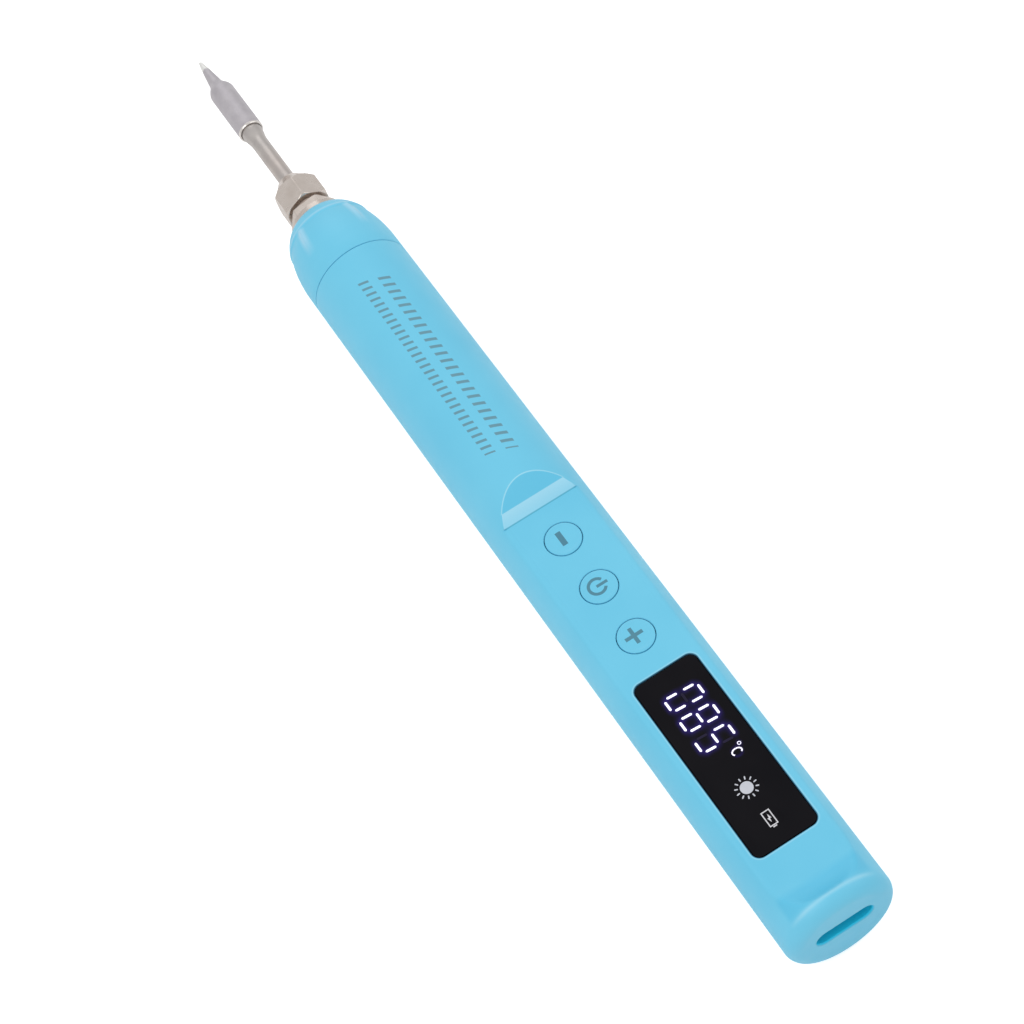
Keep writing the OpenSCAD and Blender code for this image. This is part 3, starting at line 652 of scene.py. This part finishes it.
# painted highlights: light lines along the lands between the finger scoops and along the scoops' front lip
turn = maths(tree, "ARCTAN2", stepY, maths(tree, "SUBTRACT", stepZ, axisZ))
pitch = math.tau / collar["scoops"]
ridge = maths(tree, "PINGPONG", maths(tree, "ADD", turn, math.tau), pitch / 2)  # widest apart on a land
scoopX = collar["front"] + collar["scoopStart"]
nearLand = remap(tree, ridge, 0.0, 1.0, pitch / 2 - collar["ridgeStart"],
                 pitch / 2 - collar["ridgeEnd"])
along = times(tree, remap(tree, stepX, 0.0, 1.0, alongX(scoopX), alongX(scoopX + 0.8)),
              remap(tree, stepX, 1.0, 0.0, alongX(scoopX + collar["fadeStart"]),
                    alongX(scoopX + collar["fadeEnd"])))
onLip = times(tree, within(tree, stepX, alongX(scoopX - 0.15), alongX(scoopX + 0.3), 0.00018),
              collar["lipLight"])
outer = maths(tree, "GREATER_THAN", stepX, alongX(collar["front"] + 0.5))
edgeLight = maths(tree, "MAXIMUM", times(tree, nearLand, along), onLip)
edgeLight = times(tree, times(tree, edgeLight, outer), collar["edgeLight"])
tree.links.new(blendColours(tree, edgeLight, collarColour, (0.42, 0.68, 0.84)), shader.inputs["Base Color"])
keep(makeCollar(), "collar", "body_plastic", collarPlastic, "nose_collar")
print("collar done")

# ---- nut and bush ----

nut = {"front": span("tip_nut")[0], "rear": span("tip_nut")[1], "flats": 8.0, "frontRadius": 2.45, "taper": 3.1,
       "bore": 1.61, "thread": 3.05, "threadLength": 2.7, "edge": 0.07}
bush = {"front": span("nozzle_bush")[0], "rear": span("nozzle_bush")[1], "flange": nut["rear"] + 1.1,
        "flangeLength": 1.8, "turn": -20, "thread": 3.0, "threadDepth": 0.28, "pitch": 0.6,
        "shoulder": 4.9, "shoulderLength": 1.75, "journal": 4.25, "journalEnd": 53.2, "tail": 3.2, "bore": 1.6}
hexRadius = nut["flats"] / math.sqrt(3)


def makeNut():
    size = nut
    front, rear = size["front"], size["rear"]
    profile = [(front, size["bore"]), (front, size["frontRadius"] - 0.15), (front + 0.05, size["frontRadius"] - 0.04)]
    profile += [(front + 0.15 + (size["taper"] - 0.15) * i / 8,
                 size["frontRadius"] + (hexRadius - size["frontRadius"]) * (i / 8) ** 1.08) for i in range(9)]
    profile += [(rear - 0.62, hexRadius), (rear - 0.3, hexRadius - 0.16), (rear, hexRadius - 0.55),
                (rear, size["thread"] + 0.2), (rear - 0.25, size["thread"]),
                (rear - size["threadLength"], size["thread"]), (rear - size["threadLength"], size["bore"])]
    piece = turned("tipNut", profile, ((360, 120),))
    combine(piece, cylinder("hexBar", hexRadius, front - 1, rear + 1, 6, 90), "INTERSECT")
    bevelEdges(piece, size["edge"], 2, lambda where, angle: angle > 18)
    smooth(piece, 38)
    return piece


def makeBush():
    size = bush
    shoulderX = size["flange"] + size["flangeLength"]
    shoulderEnd = shoulderX + size["shoulderLength"]
    profile = [(size["front"], size["bore"]), (size["front"], size["thread"] - 0.45)]
    station = size["front"] + 0.2
    while station + size["pitch"] < size["flange"] - 0.05:  # crests and roots of the thread
        profile += [(station, size["thread"] - size["threadDepth"]), (station + 0.24, size["thread"]),
                    (station + 0.36, size["thread"])]
        station += size["pitch"]
    flange = size["flange"]
    profile += [(flange - 0.1, size["thread"] - size["threadDepth"]), (flange, size["thread"] - size["threadDepth"]),
                (flange, hexRadius - 0.3), (flange + 0.12, hexRadius), (shoulderX - 0.12, hexRadius),
                (shoulderX - 0.02, hexRadius - 0.3), (shoulderX, hexRadius - 0.3),
                (shoulderX, size["shoulder"] - 0.12), (shoulderX + 0.1, size["shoulder"]),
                (shoulderEnd - 0.1, size["shoulder"]), (shoulderEnd, size["shoulder"] - 0.1),
                (shoulderEnd, size["journal"]), (size["journalEnd"] - 0.2, size["journal"]),
                (size["journalEnd"], size["journal"] - 0.2), (size["journalEnd"], size["tail"]),
                (size["rear"] - 0.2, size["tail"]), (size["rear"], size["tail"] - 0.2), (size["rear"], size["bore"])]
    piece = turned("nozzleBush", profile, ((360, 96),))
    around = cylinder("flangeCutter", hexRadius + 1, flange - 0.5, shoulderX - 0.01, 48)
    combine(around, cylinder("hexBar", hexRadius, flange - 1, shoulderX + 1, 6, 90 + size["turn"]))
    combine(piece, around)
    bevelEdges(piece, 0.05, 2, lambda where, angle: angle > 18 and math.hypot(where[1], where[2]) > 3.6
               and flange - 0.05 < where[0] < shoulderX - 0.1)
    smooth(piece, 38)
    return piece


nickelLook = {"tones": [(0.72, 0.65, 0.60), (0.63, 0.56, 0.51)], "rough": (0.24, 0.36), "metal": 1.0,
              "marks": "turned", "Along": 900.0, "Across": 900.0, "bump": 0.08, "depth": 0.00001,
              "glossRange": (0.1, 0.4)}
nickelPlate = finish("nickelPlate", nickelLook)[0]
keep(makeNut(), "nut", "nickel_plate", nickelPlate, "tip_nut")
bushPlate = finish("bushPlate", {**nickelLook, "tones": [(0.68, 0.61, 0.56), (0.57, 0.505, 0.46)]})[0]
keep(makeBush(), "nose", "nickel_plate", bushPlate, "nozzle_bush")
print("nut and bush done")

# ---- tip cartridge ----

tip = {"rear": span("tip_sleeve")[1], "radius": 2.35, "bore": 2.0, "boreStart": 12.5, "core": 1.2, "coreStart": 8.5,
       "coneEnd": 6.4, "coneRadius": 1.22, "point": 0.33, "shoulder": 9.6, "lip": 0.12,
       "shankStart": 20.0, "shank": 1.53, "flare": 1.95, "flareLength": 3.4, "shankEnd": span("tip_shank")[1],
       "clamp": 2.5, "clampStart": 40.1, "clampLength": 1.0}


def makeSleeve():
    size = tip
    point = size["point"]
    nose = [(point * (1 - math.cos(math.radians(a))), point * math.sin(math.radians(a))) for a in (25, 50, 75)]
    cone = [(0.25 + (size["coneEnd"] - 0.25) * t, point + (size["coneRadius"] - point) * t ** 0.86)
            for t in (i / 10 for i in range(11))]
    flare = [(size["coneEnd"] + (size["shoulder"] - size["coneEnd"]) * t,
              size["coneRadius"] + (size["radius"] - size["coneRadius"]) * (1 - math.cos(math.pi * t)) / 2)
             for t in (i / 10 for i in range(1, 11))]
    rear = size["rear"]
    profile = [(0, 0)] + nose + cone + flare
    profile += [(rear - 0.35, size["radius"]), (rear - 0.1, size["radius"] - 0.04),
                (rear, size["radius"] - size["lip"]), (rear, size["bore"] + 0.06), (rear - 0.08, size["bore"]),
                (size["boreStart"], size["bore"]), (size["boreStart"], size["core"]),
                (size["coreStart"], size["core"]), (size["coreStart"], 0)]
    piece = turned("tipSleeve", profile, ((360, 96),))
    smooth(piece, 45, False)
    return piece


def makeShank():
    size = tip
    rim = size["rear"]
    flare = [(rim + size["flareLength"] * t,
              size["shank"] + (size["flare"] - size["shank"]) * (1 + math.cos(math.pi * t)) / 2)
             for t in (i / 12 for i in range(13))]
    clampEnd = size["clampStart"] + size["clampLength"]
    profile = [(size["shankStart"], 1.2), (size["shankStart"], size["flare"])] + flare
    profile += [(size["clampStart"], size["shank"]), (size["clampStart"], size["clamp"]),
                (clampEnd, size["clamp"]), (clampEnd, size["shank"]),
                (size["shankEnd"] - 0.1, size["shank"]), (size["shankEnd"], size["shank"] - 0.1),
                (size["shankEnd"], 1.2)]
    piece = turned("tipShank", profile, ((360, 72),))
    smooth(piece, 40, False)
    return piece


tipPlating, tree, shader, platingColour, coords = finish("tipPlating", {
    "tones": [(0.47, 0.445, 0.475), (0.56, 0.535, 0.56)], "rough": (0.42, 0.62), "metal": 0.75, "marks": "turned",
    "Along": 2600.0, "Across": 2600.0, "bump": 0.7, "depth": 0.00004, "glossRange": (0.1, 0.4)})
stationX = addNode(tree, "ShaderNodeSeparateXYZ", {0: coords}).outputs["X"]
ragged = addNode(tree, "ShaderNodeTexNoise", {"Vector": coords, "Scale": 900.0, "Detail": 2.0}).outputs[0]
edgeX = maths(tree, "MULTIPLY_ADD", ragged, 0.0012, stationX)
tinned = remap(tree, edgeX, 1.0, 0.0, alongX(3.2), alongX(3.5))
withTin = blendColours(tree, tinned, platingColour, (0.80, 0.80, 0.78))
rimmed = remap(tree, stationX, 0.0, 1.0, alongX(tip["rear"] - 0.42), alongX(tip["rear"] - 0.36))
tree.links.new(blendColours(tree, rimmed, withTin, (0.74, 0.70, 0.67)), shader.inputs["Base Color"])
matte = shader.inputs["Roughness"].links[0].from_socket
polished = times(tree, matte, remap(tree, rimmed, 1.0, 0.3))
tree.links.new(polished, shader.inputs["Roughness"])
keep(makeSleeve(), "tip", "tip_plating", tipPlating, "tip_sleeve")

shankSteel, tree, shader, steelColour, coords = finish("shankSteel", {
    "tones": [(0.56, 0.525, 0.50), (0.48, 0.45, 0.435)], "rough": (0.30, 0.44), "metal": 0.95, "marks": "turned",
    "Along": 500.0, "Across": 2500.0, "bump": 0.10, "depth": 0.00001, "glossRange": (0.1, 0.4)})
stationX = addNode(tree, "ShaderNodeSeparateXYZ", {0: coords}).outputs["X"]
warm = within(tree, stationX, alongX(29), alongX(35), 0.003)  # faint straw tint where it gets hot
tree.links.new(blendColours(tree, times(tree, warm, 0.35), steelColour, (0.56, 0.47, 0.43)),
               shader.inputs["Base Color"])
keep(makeShank(), "tip", "shank_steel", shankSteel, "tip_shank")
print("tip done")

# ---- buttons ----

buttonSize = {"radius": 2.95, "flange": 3.7, "flangeTop": 4.1, "low": rise("button_power")[0],
              "top": rise("button_power")[1], "dish": 0.1, "print": 0.012, "iconShift": (-0.22, -0.22)}


def makeButton(name, station):
    size = buttonSize
    radius, top = size["radius"], size["top"]
    dish = top - size["dish"]
    # half section, from the middle of the dish over the rim to the middle of the foot
    section = [(0, dish), (radius - 0.95, dish), (radius - 0.72, dish + 0.015), (radius - 0.5, top - 0.02),
               (radius - 0.36, top), (radius - 0.2, top - 0.01), (radius - 0.07, top - 0.06), (radius, top - 0.18),
               (radius, size["flangeTop"]), (size["flange"] - 0.1, size["flangeTop"]),
               (size["flange"], size["flangeTop"] - 0.1), (size["flange"], size["low"]), (0, size["low"])]
    piece = drawLine(name, [place(station + r, 0, z) for r, z in section])
    bpy.ops.mesh.select_all(action="SELECT")
    bpy.ops.mesh.spin(steps=72, angle=math.tau, center=place(station), axis=(0, 0, 1))
    weld(0.002)
    closeUp(piece)
    smooth(piece, 35)
    return piece


def stroke(name, outline, height, thick):  # flat printed shape of (station, side) points
    return extruded(name, [place(x, y, height) for x, y in outline], Vector((0, 0, thick * mm)))


def printed(name, outlines, height, thick):  # several strokes joined as one sign
    return joinPieces(name, [stroke(name, outline, height, thick) for outline in outlines])


def bar(centreX, centreY, length, width, turn=0.0, chamfer=0.0, lean=0.0):
    # a bar lying along the pen before it is turned; chamfer cuts its corners, lean slants it
    half, side = length / 2, width / 2
    corners = [(half, -side + chamfer), (half, side - chamfer), (half - chamfer, side), (-half + chamfer, side),
               (-half, side - chamfer), (-half, -side + chamfer), (-half + chamfer, -side), (half - chamfer, -side)]
    if chamfer == 0:
        corners = [(half, -side), (half, side), (-half, side), (-half, -side)]
    cosine, sine = math.cos(math.radians(turn)), math.sin(math.radians(turn))
    moved = [(x * cosine - y * sine, x * sine + y * cosine) for x, y in corners]
    return [(centreX + x + y * lean, centreY + y) for x, y in moved]


def ringArc(centreX, centreY, outer, width, start, end, steps=36, stretch=1.0):
    angles = [math.radians(start + (end - start) * i / steps) for i in range(steps + 1)]
    inner = outer - width
    points = [(centreX + outer * math.cos(a), centreY + outer * stretch * math.sin(a)) for a in angles]
    return points + [(centreX + inner * math.cos(a), centreY + (outer * stretch - width) * math.sin(a))
                     for a in reversed(angles)]


def makeIcon(key, station):
    x, y = station + buttonSize["iconShift"][0], buttonSize["iconShift"][1]
    if key == "minus":
        outlines = [bar(x, y, 2.7, 0.92)]
    elif key == "power":
        outlines = [ringArc(x, y, 1.6, 0.5, 122, 418), bar(x, y + 0.85, 1.9, 0.5, 90)]
    else:
        arm, half = 1.5, 0.31
        quarter = [(arm, -half), (arm, half), (half, half)]
        outlines = [[(x + u * c - v * d, y + u * d + v * c) for c, d in ((1, 0), (0, 1), (-1, 0), (0, -1))
                     for u, v in quarter]]
    return printed(key + "Icon", outlines, buttonSize["top"] - buttonSize["dish"] - 0.004, buttonSize["print"])


iconInk = finish("iconInk", {"tones": [(0.075, 0.225, 0.31), (0.09, 0.25, 0.33)], "rough": (0.4, 0.55),
                             "Grain Scale": 6000.0, "bump": 0.1, "specular": 0.2})[0]
for key, station in (("minus", minusX), ("power", powerX), ("plus", plusX)):
    buttonPlastic = finish(key + "Plastic", {**bodyLook, "rough": (0.32, 0.42)})[0]
    keep(makeButton(key + "Button", station), key + "_button", "button_plastic", buttonPlastic, "button_" + key)
    keep(makeIcon(key, station), key + "_button", "button_plastic", iconInk)
print("buttons done")

# ---- display ----

windowLow, windowTop = rise("display_window")
display = {"inset": 0.05, "height": windowTop, "low": windowLow, "thick": 0.012, "glowThick": 0.006,
           "signHeight": windowTop + 0.006,
           "digitX": 5.73, "digitPitch": 4.07, "digitY": 0.27, "rowHeight": 2.74, "column": 2.42, "lean": 0.074,
           "segment": 1.74, "width": 0.38, "glowReach": 0.65, "glowStart": 2.4, "glowEnd": 19.2, "glowWidth": 8.2,
           "glowY": 0.25, "glowFade": 0.8, "degree": (16.54, 2.69), "letter": (17.5, 1.7), "sun": (23.05, -0.33),
           "battery": (28.83, -0.33)}
segmentPlaces = {  # column and row, each -1 to 1, and whether it stands upright
    "a": (0, 1, False), "b": (1, 0.5, True), "c": (1, -0.5, True), "d": (0, -1, False),
    "e": (-1, -0.5, True), "f": (-1, 0.5, True), "g": (0, 0, False)}
shownDigits = ("abcdef", "abcdefg", "acdfg")


def makeWindow():
    inset = display["inset"]
    piece = extruded("displayWindow", roundPlate(windowStart + inset, windowEnd - inset,
                                                 barrel["windowWidth"] - 2 * inset,
                                                 barrel["windowCorner"] - inset, display["low"]),
                     Vector((0, 0, (display["height"] - display["low"]) * mm)))
    bevelEdges(piece, 0.1, 3, lambda where, angle: angle > 60 and where[2] > display["height"] - 0.01)
    smooth(piece, 35)
    return piece


def segmentBars(lit):  # (outline, centre line) of every segment that is lit, or of those that aren't
    size = display
    found = []
    for order, digit in enumerate(shownDigits):
        for key, (column, row, upright) in segmentPlaces.items():
            if (key in digit) != lit:
                continue
            y = size["digitY"] + row * size["rowHeight"] * (1.02 if upright else 1)
            x = windowStart + size["digitX"] + order * size["digitPitch"] + column * size["column"] / 2
            x += (y - size["digitY"]) * size["lean"]
            turn = 90 if upright else 0
            found.append((bar(x, y, size["segment"], size["width"], turn, 0.16, size["lean"] if upright else 0),
                          (x, y, upright)))
    return found


def makeSegments(name, lit):
    return printed(name, [outline for outline, _ in segmentBars(lit)], display["signHeight"], display["thick"])


def unitSigns():
    (ringX, ringY), (letterX, letterY) = display["degree"], display["letter"]
    outlines = [ringArc(windowStart + ringX, ringY, 0.3, 0.11, a, a + 180, 16) for a in (0, 180)]
    outlines.append(ringArc(windowStart + letterX, letterY, 0.62, 0.2, 48, 312, 30, 1.42))
    return printed("unitSign", outlines, display["signHeight"], display["thick"])


def lampSigns():
    sunX, sunY, rays = windowStart + display["sun"][0], display["sun"][1], 12
    outlines = [[(sunX + math.cos(math.tau * i / 40), sunY + math.sin(math.tau * i / 40)) for i in range(40)]]
    for turn in (math.tau * (i + 0.25) / rays for i in range(rays)):
        outlines.append(bar(sunX + 1.55 * math.cos(turn), sunY + 1.55 * math.sin(turn), 0.52, 0.2,
                            math.degrees(turn), 0.05))
    return printed("sunSign", outlines, display["height"] + 0.002, display["thick"])


def batterySigns():
    x, y, line = windowStart + display["battery"][0], display["battery"][1], 0.17
    length, width = 2.6, 1.42
    outlines = [bar(x, y + side * (width - line) / 2, length, line) for side in (-1, 1)]
    outlines += [bar(x + side * (length - line) / 2, y, width - 2 * line, line, 90) for side in (-1, 1)]
    outlines.append(bar(x + length / 2 + 0.18, y, 0.62, 0.2, 90))
    bolt = [(-0.72, 0.05), (0.1, 0.3), (0.02, 0.07), (0.72, -0.05), (-0.1, -0.3), (-0.02, -0.07)]
    outlines.append([(x + u, y + v) for u, v in bolt])
    return printed("batterySign", outlines, display["height"] + 0.002, display["thick"])


def distanceToBar(x, y, centreX, centreY, upright):  # millimetres from a segment's edge
    half = display["segment"] / 2 - 0.2
    along, across = (y - centreY, x - centreX) if upright else (x - centreX, y - centreY)
    return max(math.hypot(max(abs(along) - half, 0), across) - display["width"] / 2, 0)


def makeGlow():  # a skin over the lit part of the window that carries the light spilled round the segments
    size = display
    start, end = windowStart + size["glowStart"], windowStart + size["glowEnd"]
    width, middleY, fade = size["glowWidth"], size["glowY"], size["glowFade"]
    deselect()
    bpy.ops.mesh.primitive_grid_add(x_subdivisions=112, y_subdivisions=56, size=1,
                                    location=place((start + end) / 2, middleY, size["height"]))
    bpy.context.object.scale = ((end - start) * mm, width * mm, 1)
    piece = named("displayGlow")
    useModifier(piece, "SOLIDIFY", thickness=size["glowThick"] * mm, offset=1)
    lamps = [centre for _, centre in segmentBars(True)]
    sign = [(windowStart + x, y, radius) for (x, y), radius in ((size["degree"], 0.25), (size["letter"], 0.75))]
    spill = piece.data.attributes.new("spill", "FLOAT", "POINT")
    for index, vertex in enumerate(piece.data.vertices):
        x, y = (vertex.co.x - tipX) / mm, vertex.co.y / mm
        light = sum(math.exp(-distanceToBar(x, y, *lamp) / (size["glowReach"] * 0.5)) for lamp in lamps)
        light += sum(0.6 * math.exp(-abs(math.hypot(x - u, y - v) - r) / 0.2) for u, v, r in sign)
        rimFade = min(1, (x - start) / fade, (end - x) / fade, (width / 2 - abs(y - middleY)) / fade)
        spill.data[index].value = light * max(rimFade, 0)
    return piece


windowLook = {"tones": [(0.0045, 0.0043, 0.0062), (0.0065, 0.0060, 0.0078)], "rough": (0.09, 0.15),
              "Grain Scale": 9000.0, "bump": 0.01, "depth": 0.00001, "Tone Scale": 120.0, "specular": 0.08}
windowAcrylic = finish("windowAcrylic", windowLook)[0]
keep(makeWindow(), "handle", "window_acrylic", windowAcrylic, "display_window")

glowAcrylic, tree, shader = finish("glowAcrylic", windowLook)[:3]
spilled = addNode(tree, "ShaderNodeAttribute", attribute_name="spill").outputs["Fac"]
tree.links.new(blendColours(tree, remap(tree, spilled, 0.0, 1.0, 0.08, 1.8), (0, 0, 0), (0.035, 0.018, 0.22)),
               shader.inputs["Emission Color"])
shader.inputs["Emission Strength"].default_value = 1.0
keep(makeGlow(), "handle", "window_acrylic", glowAcrylic)


def lampFinish(name, dim, bright, base):  # lit plastic, a little uneven
    material, tree, shader, _, coords = finish(name, {"tones": [base, base], "rough": (0.3, 0.5), "specular": 0.05})
    noise = addNode(tree, "ShaderNodeTexNoise", {"Vector": coords, "Scale": 700.0, "Detail": 1.0}).outputs[0]
    tree.links.new(blendColours(tree, remap(tree, noise, 0.0, 1.0, 0.3, 0.7), dim, bright),
                   shader.inputs["Emission Color"])
    shader.inputs["Emission Strength"].default_value = 1.0
    return material


litSegment = lampFinish("litSegment", (0.80, 0.78, 1.0), (0.93, 0.91, 1.0), (0.5, 0.5, 0.55))
unlitSegment = lampFinish("unlitSegment", (0.008, 0.006, 0.020), (0.011, 0.008, 0.028), (0.012, 0.011, 0.017))
signLight = lampFinish("signLight", (0.50, 0.50, 0.53), (0.58, 0.58, 0.61), (0.1, 0.1, 0.1))
sunLight = lampFinish("sunLight", (0.44, 0.46, 0.52), (0.50, 0.52, 0.58), (0.1, 0.1, 0.1))
keep(makeSegments("litSegments", True), "handle", "window_acrylic", litSegment)
keep(makeSegments("unlitSegments", False), "handle", "window_acrylic", unlitSegment)
keep(unitSigns(), "handle", "window_acrylic", litSegment)
keep(lampSigns(), "handle", "window_acrylic", sunLight)
keep(batterySigns(), "handle", "window_acrylic", signLight)
print("display done")

# ---- pieces that keep their CAD mesh ----

innerLooks = {
    "ceramic": {
        "nodes": ["heater_core"],
        "tones": [(0.72, 0.70, 0.66), (0.80, 0.78, 0.74)], "rough": (0.5, 0.7), "Grain Scale": 2600.0,
        "bump": 0.25},
    "wire": {
        "nodes": ["heater_wires"],
        "tones": [(0.52, 0.47, 0.38), (0.60, 0.55, 0.46)], "rough": (0.25, 0.4), "metal": 1.0,
        "marks": "turned", "Along": 400.0, "Across": 3000.0},
    "amber": {
        "nodes": ["nozzle_insulator", "jack_insulator"],
        "tones": [(0.13, 0.06, 0.025), (0.18, 0.085, 0.035)], "rough": (0.45, 0.6), "bump": 0.15},
    "gold": {
        "nodes": ["jack_ring", "jack_pin", "contact_ring_front", "contact_ring_rear"],
        "tones": [(0.80, 0.57, 0.22), (0.72, 0.49, 0.17)], "rough": (0.16, 0.28), "metal": 1.0,
        "marks": "turned", "Along": 5000.0, "Across": 300.0},
    "black": {
        "nodes": ["contact_holder", "switch_minus", "switch_power",
                  "switch_plus", "usb_tongue", "battery_lead_rear"],
        "tones": [(0.018, 0.018, 0.02), (0.028, 0.028, 0.03)], "rough": (0.45, 0.65), "bump": 0.2},
    "wrap": {
        "nodes": ["battery_cell"],
        "tones": [(0.03, 0.12, 0.36), (0.04, 0.15, 0.42)], "rough": (0.22, 0.34), "Tone Scale": 140.0,
        "coat": 0.3},
    "strip": {
        "nodes": ["battery_tab_front", "battery_tab_rear"],
        "tones": [(0.58, 0.56, 0.52), (0.50, 0.48, 0.44)], "rough": (0.28, 0.42), "metal": 1.0,
        "marks": "turned", "Along": 300.0, "Across": 4000.0},
    "foam": {
        "nodes": ["foam_pad"],
        "tones": [(0.025, 0.025, 0.027), (0.045, 0.045, 0.048)], "rough": (0.85, 0.95),
        "Grain Scale": 1800.0, "bump": 0.8, "depth": 0.0001},
    "white": {
        "nodes": ["heater_lead_a", "heater_lead_b",
                  "plunger_minus", "plunger_power", "plunger_plus"],
        "tones": [(0.74, 0.74, 0.72), (0.80, 0.80, 0.78)], "rough": (0.4, 0.55), "bump": 0.1},
    "red": {
        "nodes": ["battery_lead_front"],
        "tones": [(0.50, 0.02, 0.02), (0.58, 0.03, 0.03)], "rough": (0.35, 0.5), "bump": 0.1},
    "board": {
        "nodes": ["main_board"],
        "tones": [(0.012, 0.10, 0.045), (0.02, 0.14, 0.06)], "rough": (0.25, 0.4), "Grain Scale": 1500.0,
        "Tone Scale": 300.0, "bump": 0.15, "coat": 0.2},
    "steel": {
        "nodes": ["carrier_screws", "usb_shell", "display_pins", "bush_retainer"],
        "tones": [(0.52, 0.51, 0.50), (0.44, 0.43, 0.42)], "rough": (0.25, 0.4), "metal": 1.0,
        "marks": "turned", "Along": 2500.0, "Across": 2500.0},
    "chip": {
        "nodes": ["charge_chip", "boost_inductor", "power_transistor"],
        "tones": [(0.012, 0.012, 0.013), (0.022, 0.022, 0.023)], "rough": (0.5, 0.7), "bump": 0.3},
    "capacitor": {
        "nodes": ["filter_capacitors"],
        "tones": [(0.36, 0.22, 0.11), (0.44, 0.28, 0.15)], "rough": (0.4, 0.6), "bump": 0.2},
    "case": {
        "nodes": ["board_carrier", "display_module"],
        "tones": [(0.60, 0.60, 0.58), (0.67, 0.67, 0.65)], "rough": (0.45, 0.6), "bump": 0.15},
}
for key, look in innerLooks.items():
    innerFinish = finish(key + "Finish", look)[0]
    for node in look["nodes"]:
        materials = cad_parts[node].data.materials
        materials.clear()
        materials.append(innerFinish)
print("inner pieces done")

# ---- floor, light and camera ----

studio = {"floorTone": (0.84, 0.84, 0.84), "floorLight": 0.08, "floorGlow": 0.5, "world": 0.72,
          "key": ((0.10, -0.32, 0.55), 0.45, 1.1), "fill": ((0.05, 0.45, 0.45), 0.5, 0.6),
          "rim": ((-0.5, 0.1, 0.35), 0.35, 0.25)}


def makeFloor():
    deselect()
    bpy.ops.mesh.primitive_plane_add(size=6, location=(0, 0, -0.0002))
    piece = named("floor")
    material, tree, shader = finish("floorPaper", {
        "tones": [studio["floorTone"], tuple(0.99 * c for c in studio["floorTone"])], "rough": (0.8, 0.9),
        "Grain Scale": 900.0, "Tone Scale": 3.0, "bump": 0.02})[:3]
    shader.inputs["Emission Color"].default_value = (1, 1, 1, 1)
    seen = addNode(tree, "ShaderNodeLightPath").outputs["Is Camera Ray"]
    tree.links.new(maths(tree, "MULTIPLY_ADD", seen, studio["floorGlow"], studio["floorLight"]),
                   shader.inputs["Emission Strength"])
    piece.data.materials.append(material)


def addSoftbox(name, spot, size, power):
    light = bpy.data.lights.new(name, "AREA")
    light.size = size
    light.energy = power
    lamp = bpy.data.objects.new(name, light)
    bpy.context.scene.collection.objects.link(lamp)
    lamp.location = spot
    lamp.rotation_mode = "QUATERNION"
    lamp.rotation_quaternion = (place(110) - Vector(spot)).to_track_quat("-Z", "Y")


makeFloor()
for name in ("key", "fill", "rim"):
    addSoftbox(name + "Softbox", *studio[name])
world = bpy.data.worlds.new("studioWorld")
world.use_nodes = True
world.node_tree.nodes["Background"].inputs["Color"].default_value = (1, 1, 1, 1)
world.node_tree.nodes["Background"].inputs["Strength"].default_value = studio["world"]
bpy.context.scene.world = world
bpy.context.scene.view_settings.view_transform = "Standard"

cameraPose = {"spot": (0.2261948, -0.0544584, 0.3387699), "target": (0.0155916, -0.0029705, 0.009),
              "roll": -20.16, "lens": 88.05}
lens = bpy.data.cameras.new("studioCamera")
lens.lens = cameraPose["lens"]
lens.sensor_width = 36
lens.clip_start, lens.clip_end = 0.01, 20
camera = bpy.data.objects.new("studioCamera", lens)
bpy.context.scene.collection.objects.link(camera)
camera.location = cameraPose["spot"]
camera.rotation_mode = "QUATERNION"
forward = Vector(cameraPose["target"]) - Vector(cameraPose["spot"])
camera.rotation_quaternion = forward.to_track_quat("-Z", "Y") @ Quaternion(
    (0, 0, 1), math.radians(cameraPose["roll"]))
bpy.context.scene.camera = camera
print("studio done")

deselect()
